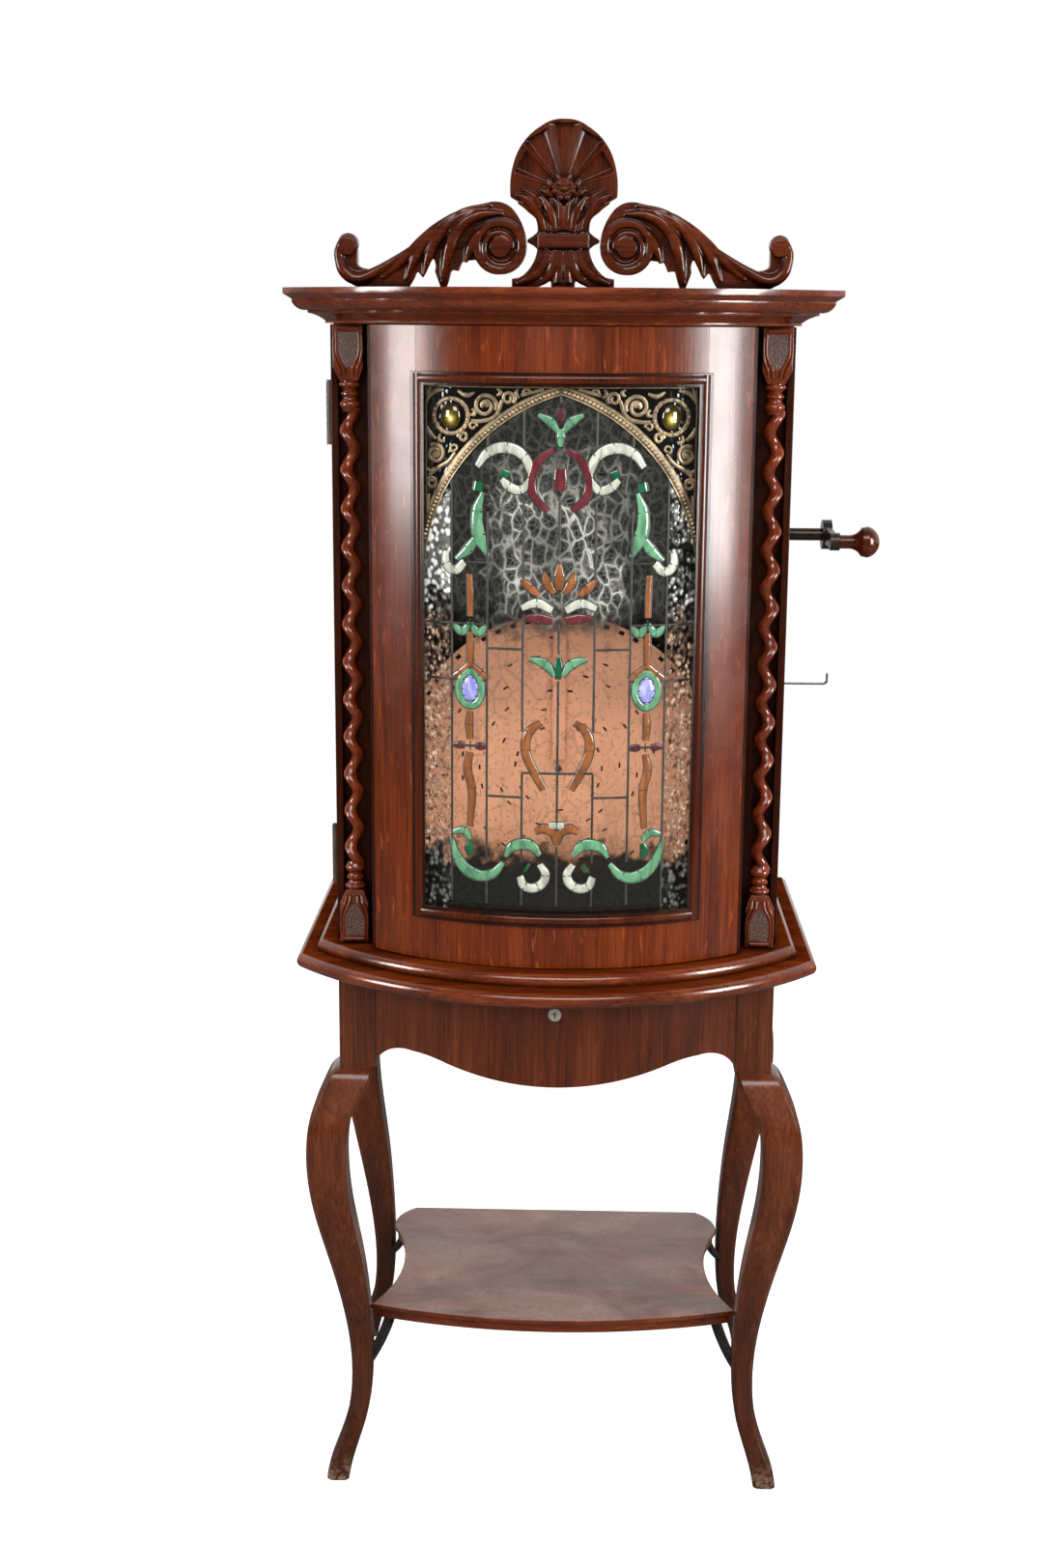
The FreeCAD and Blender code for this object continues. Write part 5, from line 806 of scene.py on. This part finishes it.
class MUSICBOX_OT_blocks(bpy.types.Operator):
    """Carves a stippled shield with raised edges on each column block"""
    bl_idname = "musicbox.blocks"
    bl_label = "Carved Blocks"

    # Foot of the lower blocks, head of the upper ones, their distance from the middle, and front
    FOOT = 751.2
    HEAD = 1511.8
    SIDE = 254.0
    FRONT = 213.5
    # Beyond its square part, this tall, a block draws in by IN over TAPER
    TALL = 50.0
    TAPER = 16
    IN = 7
    # One half of the shield's raised edge: distance from the middle, height, radius
    EDGE = ((13.4, 9, 1.7), (13.8, 22, 1.7), (13.2, 33, 1.8), (9.5, 43, 2.0), (5.6, 51, 2.3),
            (4.6, 59, 2.6))
    CORNER = ((16.6, 12, 1.2), (16.8, 30, 1.5), (15.0, 42, 2.4), (11.6, 50, 2.6), (9.4, 60, 2.0))
    # Bar under the shield: half length, height, radius
    BAR = (12, 4.2, 3.0)
    GROUND_TOP = 49.5

    @classmethod
    def face(cls, spot):
        """Front of the block, and of the taper beyond it."""
        height = spot.z / MM
        beyond = height - cls.FOOT if height < (cls.FOOT + cls.HEAD) / 2 else cls.HEAD - height
        return -(cls.FRONT - cls.IN * min(max(beyond - cls.TALL, 0), cls.TAPER) / cls.TAPER) * MM

    def execute(self, context):
        wood = finish("oak_block", stained_oak, "Z", 1.0, 0.3, 0.95, 0.8)
        edges = Strokes(0.8)
        ground = bmesh.new()
        half, rise, width = self.BAR
        for foot, way in ((self.FOOT, 1), (self.HEAD, -1)):
            edges.draw([(self.SIDE + x, foot + way * rise, width) for x in (-half, half)])
            for hand in (1, -1):
                for line in (self.EDGE, self.CORNER):
                    edges.draw([(self.SIDE + hand * x, foot + way * height, radius)
                                for x, height, radius in line])
            for side in (1, -1):
                shape = [(x, height) for x, height, radius in self.EDGE[:-1]]
                shape += [(-x, height) for x, height in reversed(shape)]
                ground.faces.new([ground.verts.new((
                    side * (self.SIDE + x) * MM, -(self.FRONT + 0.35) * MM,
                    (foot + way * min(height, self.GROUND_TOP)) * MM)) for x, height in shape])
        bmesh.ops.recalc_face_normals(ground, faces=ground.faces)
        if ground.faces[0].normal.y > 0:
            bmesh.ops.reverse_faces(ground, faces=ground.faces)
        put("block_edges", edges.mesh(self.face), wood, "column_blocks", extra=True)
        put("block_grounds", join("block_grounds", ground), finish("oak_stippled", stippled_oak),
            "column_blocks", extra=True)
        dress(wood, "column_blocks")
        return {"FINISHED"}


class MUSICBOX_OT_crest(bpy.types.Operator):
    """Carves the shell, the leaf stem and the two scroll arms of the crest"""
    bl_idname = "musicbox.crest"
    bl_label = "Carved Crest"

    # Leaf ribs of the right arm: x, height above the cornice, radius
    ARM = (
        ((78, 74, 2), (98, 61, 6), (108, 45, 6.5), (114, 29, 2)),
        ((71, 85, 2), (98, 83, 6), (120, 70, 7.5), (132, 47, 8), (138, 22, 5), (140, 6, 1.2)),
        ((88, 90, 2), (122, 80, 5.5), (145, 60, 6.5), (157, 36, 6), (163, 14, 1.5)),
        ((98, 92, 2), (132, 79, 4.5), (156, 58, 5.5), (173, 34, 6), (184, 9, 1.4)),
        ((106, 92, 2), (141, 75, 3.5), (168, 53, 4.5), (190, 29, 5), (212, 11, 2)),
        ((84, 95, 2.5), (120, 86, 3.2), (157, 58, 3.4), (190, 36, 4), (222, 17, 6), (240, 10, 7.5),
         (254, 16, 7), (261, 30, 6), (261, 46, 5), (252, 55, 5), (243, 48, 4), (247, 41, 3.5)),
    )
    VOLUTE = (73.5, 47)
    # Leaf ribs of the stem, and berries of its knot: x, height, radius, and how far proud
    STEM = (
        ((18, 64, 5), (25, 79, 6), (38, 91, 6), (53, 98, 2)),
        ((10, 64, 5), (14, 84, 6.5), (23, 98, 6), (38, 105, 2)),
        ((4, 66, 5), (6, 82, 6), (9, 95, 5), (16, 106, 2)),
        ((16, 44, 5), (21, 30, 6), (34, 15, 6), (54, 5, 4)),
        ((8, 44, 5), (11, 28, 6), (19, 12, 5), (30, 3, 2)),
        ((3, 44, 4), (4, 25, 5), (6, 6, 4)),
    )
    BERRIES = ((0, 113, 4.2, 5.5), (7, 119, 3.6, 4.5), (10, 110, 4.0, 5.5), (4, 103, 3.8, 6.0))
    # Leaves round the knot, down the stem and out to the shell's lower corners
    LEAVES = (
        ((3, 118, 2), (5, 124, 3.8), (9, 130, 1.2)),
        ((9, 112, 2.5), (15, 118, 4.6), (20, 124, 1.2)),
        ((12, 104, 2.5), (19, 109, 5), (26, 112, 1.5)),
        ((22, 66, 3), (27, 79, 5), (34, 91, 6), (44, 101, 5.5), (56, 106, 1.5)),
        ((26, 92, 2), (34, 103, 4.4), (47, 112, 1.4)),
        ((10, 67, 3), (13, 80, 5.5), (17, 91, 6.2), (22, 99, 4.2), (26, 105, 1.2)),
        ((0, 67, 2.5), (3, 80, 4), (4, 93, 4.2), (8, 101, 1.5)),
    )
    # Grooves of the shell, fanned out from its knot: degrees from upright, and length
    KNOT = 112
    GROOVES = ((15.6, 72), (43.6, 67), (73, 59))

    @staticmethod
    def lifted(lines):
        return [[(x, CORNICE_HEAD + height, *rest) for x, height, *rest in line] for line in lines]

    def execute(self, context):
        # Painted shade: the carving's hollows are darkened deeply
        wood = finish("oak_carved", stained_oak, "X", 0.6, 0.3, 1.9, 0.8, 0.8)
        x, height = self.VOLUTE
        arm = Strokes(1.0).draw(*self.lifted(self.ARM))
        arm.draw(*self.lifted([spiral(x, height, 70, 480, 26.2, 13.6, 3.7, 3.3, 26)]), proud=1.4)
        eyes = studs(self.lifted([[(x, height, 8.0, 2.4)]])[0], 0.5, on_crest())
        carve("scroll_arms", "crest_scrolls", [eyes, arm.mesh(on_crest(0.8))], 1.15, wood)
        stem = Strokes(0.75).draw(*self.lifted(self.STEM))
        carve("leaf_stem", "crest_stem", [stem.mesh(on_crest(-0.5))], 0.85, wood)
        shell = Strokes(0.8)
        for bearing, reach in self.GROOVES:
            across, up = math.sin(math.radians(bearing)), math.cos(math.radians(bearing))
            groove = [(across * far, self.KNOT + up * far, width)
                      for far, width in ((12, 1.3), (reach * 0.5, 0.9), (reach, 0.9))]
            shell.draw(*self.lifted([groove]))
        shell.draw(*self.lifted(self.LEAVES), proud=1.8)
        berries = studs(self.lifted([self.BERRIES])[0], 1.0, on_crest())
        carve("fluted_shell", "crest_shell", [berries, shell.mesh(on_crest())], 0.85,
              finish("oak_shell", stained_oak, "Z", 0.56, 0.3, 1.9, 0.5, 0.5))
        return {"FINISHED"}


class MUSICBOX_OT_fret(bpy.types.Operator):
    """Casts the brass corners, their jewels and the pointed band"""
    bl_idname = "musicbox.fret"
    bl_label = "Brass Corners"

    # Scrolls, stems and leaves of the right corner: x, height, radius
    SCROLLS = (
        spiral(88, 1421, 200, -560, 14, 4, 2.6, 2.0, 22),
        spiral(147, 1365, 60, 560, 11, 3.5, 2.5, 1.9, 20),
        spiral(61, 1430, 220, -460, 8, 2.6, 2.2, 1.7, 16),
        spiral(151.5, 1331, 40, 460, 6.8, 2.4, 2.0, 1.6, 14),
        spiral(150, 1306, 60, 400, 4.4, 2, 1.7, 1.4, 10),
        spiral(114, 1385, 0, 440, 6, 2.2, 2.0, 1.6, 14),
        spiral(40, 1437, 200, -340, 4.6, 2, 1.8, 1.4, 10),
        spiral(102, 1398, 180, -360, 5, 2, 1.7, 1.4, 10),
        spiral(124, 1372, 300, 360, 5, 2, 1.7, 1.4, 10),
        ((20, 1441, 1.6), (34, 1437, 2.0), (46, 1434, 2.2)),
        ((68, 1428, 2.0), (76, 1410, 2.4), (92, 1404, 2.4), (104, 1404, 2.0)),
        ((156, 1290, 1.6), (156, 1302, 2.0), (155, 1318, 2.2)),
        ((154, 1340, 2.0), (142, 1350, 2.4), (132, 1356, 2.4), (123, 1367, 2.0)),
        ((100, 1436, 1.6), (110, 1433, 3.0), (120, 1438, 1.8)),
        ((84, 1421, 2.6), (89, 1424, 3.6), (92, 1419, 1.8)),
        ((150, 1360, 2.4), (147, 1365, 3.4), (143, 1366, 1.8)),
        ((136, 1439, 1.4), (147, 1437, 3.0), (156, 1428, 1.8)),
        ((157, 1396, 1.8), (153, 1388, 3.0), (146, 1382, 1.8)),
        ((152, 1442, 1.4), (155, 1436, 2.8), (157, 1424, 1.4)),
        ((106, 1411, 1.4), (100, 1412, 2.4), (103, 1418, 1.6)),
        ((141, 1388, 1.4), (142, 1381, 2.4), (135, 1380, 1.6)),
        ((74, 1441, 1.4), (70, 1437, 2.6), (74, 1433, 1.4)),
        ((157, 1348, 1.4), (152, 1345, 2.4), (148, 1349, 1.4)),
        ((50, 1441, 1.3), (52, 1436, 2.2), (48, 1431, 1.3)),
    )
    # Its rims, along the stile and along the head
    RIMS = (
        ((158, 1270, 1.2), (158, 1350, 1.2), (158, 1442, 1.2)),
        ((10, 1443, 1.1), (80, 1443, 1.1), (158, 1443, 1.2)),
    )
    # Ring round a jewel: radius of its middle line, half width. Jewel: half width and height
    RING = (20.0, 2.6)
    JEWEL = (12.2, 15.3)
    # Pointed band, measured in from the arch: its middle line and its two raised edges
    BAND = 4.6
    EDGES = (0.9, 8.3)

    @staticmethod
    def arch_points(inset, radius, count=22):
        """Points down the right side of the arch, set in from it."""
        reach = ARCH_RADIUS - inset
        top = math.acos(ARCH_CENTRE / reach)
        bearings = [top + (ARCH_FOOT - top) * step / (count - 1) for step in range(count)]
        return [(reach * math.cos(bearing) - ARCH_CENTRE, ARCH_LEVEL + reach * math.sin(bearing), radius)
                for bearing in bearings]

    def execute(self, context):
        x, height = JEWEL_PLACE
        reach, width = self.RING
        fret = Strokes(0.55, 3).draw(*self.SCROLLS, proud=0.3)
        fret.draw(spiral(x, height, 0, 343, reach, reach, width, width, 18), closed=True)
        fret.draw(self.arch_points(-0.6, 1.0), *self.RIMS)
        beads = studs([(x + reach * math.cos(bearing), height + reach * math.sin(bearing), 2.7, 1.0)
                       for bearing in (math.pi * step / 9 for step in range(18))], 0.7, on_glass(0.6))
        put("fretted_corners", join("fretted_corners", beads, fret.mesh(on_glass(0.6)), angle=50),
            finish("fret_brass", aged_brass, 0.66), "spandrels")
        wide, tall = self.JEWEL
        jewel = Strokes(0.55, 6).draw([
            (x, height + tall * math.cos(bearing), max(0.4, wide * math.sin(bearing)))
            for bearing in (math.pi * step / 8 for step in range(9))])
        put("oval_jewels", jewel.mesh(on_glass(1.4)), finish("amber_jewel", jewel_glass), "jewels")
        ground = Strokes(0.3, 3).draw(self.arch_points(self.BAND, 4.8))
        put("band_ground", ground.mesh(on_glass(1.2)), finish("band_ground", aged_brass, 0.28),
            "arch_band")
        band = Strokes(0.5, 3).draw(*(self.arch_points(inset, 0.8) for inset in self.EDGES), proud=2.0)
        beads = studs([(x, height, radius, 2.4) for x, height, radius in
                       self.arch_points(self.BAND, 2.2, 54)[1:]], 0.8, on_glass())
        put("band_beads", join("band_beads", beads, band.mesh(on_glass()), angle=50),
            finish("band_brass", aged_brass), "arch_band", extra=True)
        return {"FINISHED"}


class MUSICBOX_OT_art_glass(bpy.types.Operator):
    """Leads the bowed window: rippled panes, leaves, scrolls, stems and blossoms"""
    bl_idname = "musicbox.art_glass"
    bl_label = "Art Glass"

    # Strokes of coloured glass by colour: x, height, radius
    PIECES = {
        "leaf": (
            ((3, 1392, 1), (12, 1404, 4.5), (26, 1412, 1)),
            ((90, 1322, 1), (97, 1300, 5.5), (95, 1272, 7), (84, 1248, 1)),
            ((95, 1276, 1), (107, 1256, 5.5), (122, 1243, 1)),
            ((106, 1168, 1), (115, 1158, 4.5), (125, 1166, 1)),
            ((104, 1168, 1), (95, 1158, 4.5), (85, 1166, 1)),
            ((62, 886, 1), (52, 899, 5.5), (32, 901, 6), (20, 889, 1.5)),
            ((128, 905, 1), (120, 880, 5), (102, 862, 6.5), (80, 862, 5), (64, 878, 1.5)),
            ((104, 905, 1.5), (112, 914, 4), (126, 912, 1.5)),
            ((5, 1108, 1), (16, 1122, 5), (34, 1128, 1.2)),
            ((0, 1396, 2), (0, 1386, 4), (0, 1376, 1)),
        ),
        "emerald": (
            ((95, 1334, 4.8), (97, 1324, 4.8)),
            ((68, 1346, 3.5), (60, 1342, 5)),
            ((104, 1167, 4.6), (105.5, 1167, 4.6)),
            ((104, 1020, 3.8), (105.5, 1020, 3.8)),
            ((104, 902, 2), (106, 893, 4), (104, 884, 2)),
            ((34, 872, 4.4), (37, 874, 4.4)),
            ((0, 1130, 2), (0, 1118, 4.4), (0, 1104, 1.4)),
        ),
        "opal": (
            ((97, 1352, 2.2), (84, 1368, 4.6), (62, 1374, 5.4), (42, 1364, 4.6), (34, 1346, 3.2)),
            ((36, 1336, 2.4), (46, 1326, 4.2), (60, 1330, 4.4), (68, 1338, 2.4)),
            ((112, 1240, 3.2), (124, 1230, 4.4), (134, 1238, 4.4), (134, 1252, 2.6)),
            ((20, 878, 2.6), (13, 864, 4.2), (22, 850, 4.6), (38, 850, 4.4), (44, 862, 3)),
            ((8, 1186, 3.4), (26, 1194, 4.6), (44, 1188, 2.4)),
            ((-9, 926, 3.2), (0, 926, 3.6), (9, 926, 3.2)),
        ),
        "amber": (
            ((106, 1226, 2.2), (105, 1200, 2.6), (105, 1176, 2.2)),
            ((105, 1158, 2.2), (105, 1140, 2.8), (105, 1116, 2.2)),
            ((105, 1062, 2.2), (106, 1046, 3.6), (105, 1028, 2.2)),
            ((105, 1012, 2.2), (108, 992, 4.0), (103, 968, 3.6), (105, 920, 2)),
            ((128, 1102, 1), (117, 1108, 3.6), (107, 1118, 1.4)),
            ((82, 1102, 1), (93, 1108, 3.6), (103, 1118, 1.4)),
            ((20, 1052, 2), (34, 1040, 4), (38, 1018, 4.2), (28, 992, 4), (16, 970, 3)),
            ((4, 916, 3), (14, 922, 5), (26, 918, 2)),
            ((6, 1206, 2), (14, 1218, 4.6), (18, 1230, 1)),
            ((24, 1204, 2), (34, 1212, 4.4), (44, 1222, 1)),
            ((0, 1210, 3), (0, 1226, 5.4), (0, 1240, 1.4)),
            ((0, 902, 2), (0, 912, 6), (0, 920, 5)),
        ),
        "ruby": (
            ((14, 1302, 2), (30, 1318, 4), (33, 1340, 4.2), (24, 1360, 4), (8, 1372, 2)),
            ((8, 1174, 3), (24, 1176, 5), (40, 1176, 1.6)),
            ((84, 1020, 1), (93, 1020, 3.2), (99, 1020, 1.4)),
            ((126, 1020, 1), (117, 1020, 3.2), (111, 1020, 1.4)),
            ((0, 1420, 1), (0, 1414, 3.6), (0, 1406, 1.2)),
            ((0, 1326, 5.5), (0, 1338, 7), (0, 1350, 5.5)),
        ),
        "violet": (
            ((105, 1073, 0.2), (105, 1075.5, 4.6), (105, 1081, 8), (105, 1089, 9.6), (105, 1097, 8),
             (105, 1102.5, 4.6), (105, 1105, 0.2)),
        ),
    }
    # Upright leads, counted in steps from the middle, with the foot and head of each run
    STEP = 42.3
    UPRIGHTS = ((0, (826, 900), (930, 1102), (1134, 1170), (1256, 1318), (1426, 1438)),
                (1, (826, 846), (880, 990), (1040, 1180), (1222, 1312), (1376, 1418)),
                (2, (826, 860), (880, 1300), (1376, 1388)),
                (3, (826, 1340),))
    # Level leads: left end, height, right end
    TIES = ((42.3, 1139, 84.6), (84.6, 1020, 127), (84.6, 1167, 158), (84.6, 1100, 158),
            (0, 990, 42.3), (84.6, 1240, 110), (42.3, 960, 84.6))
    # Rim round the violet oval: middle, half width and half height
    OVAL = (105, 1089, 14.0, 20.5)

    def execute(self, context):
        glass = settings().glass
        lead = Strokes(0.75, 3)
        seams = Strokes(0.55, 2)
        edging = Strokes(0.15, 3)
        for colour, pieces in self.PIECES.items():
            panes = Strokes(0.26, 4)
            panes.draw(*pieces, grow=glass.swell)
            edging.draw(*pieces, grow=glass.swell + glass.lead)
            for stroke in pieces:
                for line, radius in self.seams(stroke):
                    seams.draw(line, proud=radius * 0.1)
            put(colour + "_glass", panes.mesh(on_glass(0.45)),
                finish(colour + "_glass", coloured_glass, tuple(getattr(glass, colour))),
                "glass_panel", True)
        ring = Strokes(0.26, 4).draw(self.oval(3.8), closed=True)
        edging.draw(self.oval(3.8 + glass.lead), closed=True)
        put("oval_rims", ring.mesh(on_glass(0.5)), finish("leaf_glass", coloured_glass),
            "glass_panel", True)
        for step, *runs in self.UPRIGHTS:
            for low, high in runs:
                lead.draw([(step * self.STEP, height, glass.lead)
                           for height in (low, (low + high) / 2, high)])
        for left, height, right in self.TIES:
            lead.draw([(x, height, glass.lead) for x in (left, (left + right) / 2, right)])
        put("lead_lines", join("lead_lines", lead.mesh(on_glass(0.2)), edging.mesh(on_glass()),
                               seams.mesh(on_glass(0.9)), angle=50),
            finish("lead", worn_metal, (0.05, 0.046, 0.041), (0.018, 0.016, 0.014), 0.2, 0.42),
            "glass_cames")
        dress(finish("rippled_pane", rippled_pane), "glass_panel", edge=0, angle=40)
        return {"FINISHED"}

    @staticmethod
    def seams(stroke):
        """Short leads across a stroke, where two pieces of its glass meet, with its radius there."""
        for before, (x, height, radius), after in zip(stroke, stroke[1:], stroke[2:]):
            if radius > 2.8:
                run, rise = after[0] - before[0], after[1] - before[1]
                reach = (radius + settings().glass.swell) / math.hypot(run, rise)
                yield [(x + way * rise * reach, height - way * run * reach, 0.75)
                       for way in (-1, 0, 1)], radius

    @classmethod
    def oval(cls, radius, count=16):
        x, height, wide, tall = cls.OVAL
        return [(x + wide * math.cos(2 * math.pi * step / count),
                 height + tall * math.sin(2 * math.pi * step / count), radius)
                for step in range(count)]


class MUSICBOX_OT_movement(bpy.types.Operator):
    """Finishes disc, bedplate, combs, motor and pressure bar"""
    bl_idname = "musicbox.movement"
    bl_label = "Movement"

    def execute(self, context):
        dress(finish("coppered_disc", coppered_disc), "disc", edge=0)
        dress(finish("coppered_bar", coppered_disc, False), "pressure_bar", edge=0.6)
        dress(finish("japanned_iron", worn_metal, (0.03, 0.029, 0.028), (0.01, 0.01, 0.01), 0.35, 0.42),
              "bedplate", "bearers", "bar_bracket", "spring_barrel", edge=0.6)
        dress(finish("bright_steel", worn_metal, (0.56, 0.55, 0.53), (0.26, 0.25, 0.24), 1.0, 0.3, "Z"),
              "centre_post", "star_arbor", "combs", "motor_pillars", "bar_rollers", "drive_wheel",
              "governor_fan", "ratchet_wheel", "click", edge=0.25)
        dress(finish("gear_brass", aged_brass), "great_wheel", "second_arbor", "third_arbor",
              "motor_plate_inner", "motor_plate_outer", "star_wheels", edge=0.25)
        return {"FINISHED"}


class MUSICBOX_OT_hardware(bpy.types.Operator):
    """Finishes hinges, lock, crank, knob and start rod"""
    bl_idname = "musicbox.hardware"
    bl_label = "Hinges, Lock and Crank"

    def execute(self, context):
        dress(finish("dull_brass", worn_metal, (0.085, 0.052, 0.038), (0.035, 0.02, 0.014), 0.3, 0.5),
              "hinge_case_leaves", "hinge_door_leaves", "hinge_pins", edge=0.2)
        dress(finish("lock_nickel", worn_metal, (0.66, 0.62, 0.54), (0.3, 0.27, 0.22), 0.7, 0.35),
              "drawer_lock", edge=0.4)
        dark = finish("bronzed_iron", worn_metal, (0.095, 0.072, 0.058), (0.03, 0.022, 0.018), 0.9, 0.34)
        dress(dark, "crank_arm", edge=1.0)
        dress(dark, "crank_bush", edge=0.6)
        dress(dark, "winding_shaft", edge=0.3)
        dress(finish("rod_steel", worn_metal, (0.42, 0.4, 0.38), (0.16, 0.15, 0.14), 1.0, 0.32),
              "start_rod", edge=0)
        dress(finish("polished_knob", stained_oak, "X", 0.62, 0.2), "crank_knob", edge=0.5)
        return {"FINISHED"}


class MUSICBOX_OT_stage(bpy.types.Operator):
    """Sets the pale floor, soft lights and camera"""
    bl_idname = "musicbox.stage"
    bl_label = "Stage"

    # Camera: place in metres, turn, tilt and roll in radians, and focal length in image widths
    PLACE = (0.02217, -2.73, 1.522)
    TURN = -0.0266
    TILT = 0.2204
    ROLL = 0.0066
    FOCUS = 2160.8 / 1080
    SENSOR = 36

    @staticmethod
    def eye(finish):
        """One for the camera and what it sees through glass, nought for light and reflections."""
        path = finish.add("LightPath", "Is Camera Ray")
        return path.most(Value(finish, path.socket.node.outputs["Is Transmission Ray"]))

    def floor(self):
        """White to the eye, shadows kept, and plain grey to all that it lights."""
        skin = bmesh.new()
        bmesh.ops.create_grid(skin, x_segments=1, y_segments=1, size=9)
        floor = show("floor", solid("floor", skin))
        paper = Finish("floor_paper", Roughness=0.9, Specular_IOR_Level=0.1, Emission_Color=(1, 1, 1, 1))
        seen = self.eye(paper)
        for socket, hidden, shown in (("Emission Strength", 0.0, 0.7), ("Base Color", 0.12, 0.62)):
            paper.feed(socket, paper.span(seen, 0.0, 1.0, hidden, shown))
        floor.data.materials.append(paper.material)

    def surroundings(self):
        """White behind the object and to the eye, dim in front, as in a photographer's studio."""
        world = bpy.context.scene.world = bpy.data.worlds.new("studio")
        studio = Finish(world, Color=(1, 1, 1, 1))
        back = studio.axes(studio.add("TexCoord", "Generated"))[1]
        level = studio.span(back, -0.15, 0.3, settings().stage.sky, 1.0)
        studio.feed("Strength", level.most(self.eye(studio)))

    def light(self, name, place, target, size, power):
        data = bpy.data.lights.new(name, "AREA")
        data.shape = "RECTANGLE"
        data.size, data.size_y = size
        data.energy = power
        lamp = show(name, data)
        lamp.location = place
        lamp.rotation_euler = (Vector(target) - Vector(place)).to_track_quat("-Z", "Y").to_euler()
        return lamp

    def camera(self):
        data = bpy.data.cameras.new("camera")
        data.sensor_fit = "HORIZONTAL"
        data.sensor_width = self.SENSOR
        data.lens = self.FOCUS * self.SENSOR
        camera = show("camera", data)
        ahead = Vector((math.sin(self.TURN) * math.cos(self.TILT),
                        math.cos(self.TURN) * math.cos(self.TILT), -math.sin(self.TILT)))
        level = Vector((math.cos(self.TURN), -math.sin(self.TURN), 0))
        above = level.cross(ahead)
        right = math.cos(self.ROLL) * level + math.sin(self.ROLL) * above
        up = -math.sin(self.ROLL) * level + math.cos(self.ROLL) * above
        turn = Matrix((right, up, -ahead)).transposed().to_4x4()
        camera.matrix_world = Matrix.Translation(self.PLACE) @ turn
        bpy.context.scene.camera = camera

    def execute(self, context):
        stage = settings().stage
        self.floor()
        self.surroundings()
        self.light("left_light", (-2.65, -1.55, 1.7), (0, -0.1, 1.4), (0.8, 1.3), stage.left)
        self.light("right_light", (2.65, -1.55, 1.6), (0, -0.1, 1.3), (0.8, 1.5), stage.right)
        self.light("high_light", (0.0, -2.4, 3.3), (0, -0.1, 1.0), (2.4, 0.9), stage.high)
        fill = self.light("fill_light", (0.0, -3.3, 1.7), (0, -0.1, 1.1), (2.4, 1.4), stage.fill)
        fill.visible_glossy = False
        self.camera()
        context.scene.view_settings.view_transform = "Standard"
        return {"FINISHED"}


class MUSICBOX_PT_sidebar(bpy.types.Panel):
    """Lists the steps that dress the music box"""
    bl_label = "Music Box"
    bl_idname = "MUSICBOX_PT_sidebar"
    bl_space_type = "VIEW_3D"
    bl_region_type = "UI"
    bl_category = "Music Box"

    def draw(self, context):
        layout = self.layout
        for operator in STEPS:
            layout.operator(operator.bl_idname)
        for name in ("wood", "twist", "glass", "metal", "stage"):
            group = getattr(context.scene.music_box, name)
            box = layout.box()
            for key in type(group).__annotations__:
                box.prop(group, key)


GROUPS = (StainedWood, TwistSizes, ArtGlass, MetalTones, StageSizes, MusicBoxSettings)
STEPS = (MUSICBOX_OT_cabinet, MUSICBOX_OT_legs, MUSICBOX_OT_columns, MUSICBOX_OT_blocks,
         MUSICBOX_OT_crest, MUSICBOX_OT_fret, MUSICBOX_OT_art_glass, MUSICBOX_OT_movement,
         MUSICBOX_OT_hardware, MUSICBOX_OT_stage)
CLASSES = GROUPS + STEPS + (MUSICBOX_PT_sidebar,)


def register():
    for item in CLASSES:
        bpy.utils.register_class(item)
    bpy.types.Scene.music_box = PointerProperty(type=MusicBoxSettings)


def unregister():
    del bpy.types.Scene.music_box
    for item in reversed(CLASSES):
        bpy.utils.unregister_class(item)


def main():
    register()
    for step in STEPS:
        group, name = step.bl_idname.split(".")
        getattr(getattr(bpy.ops, group), name)()


if __name__ == "__main__":
    main()
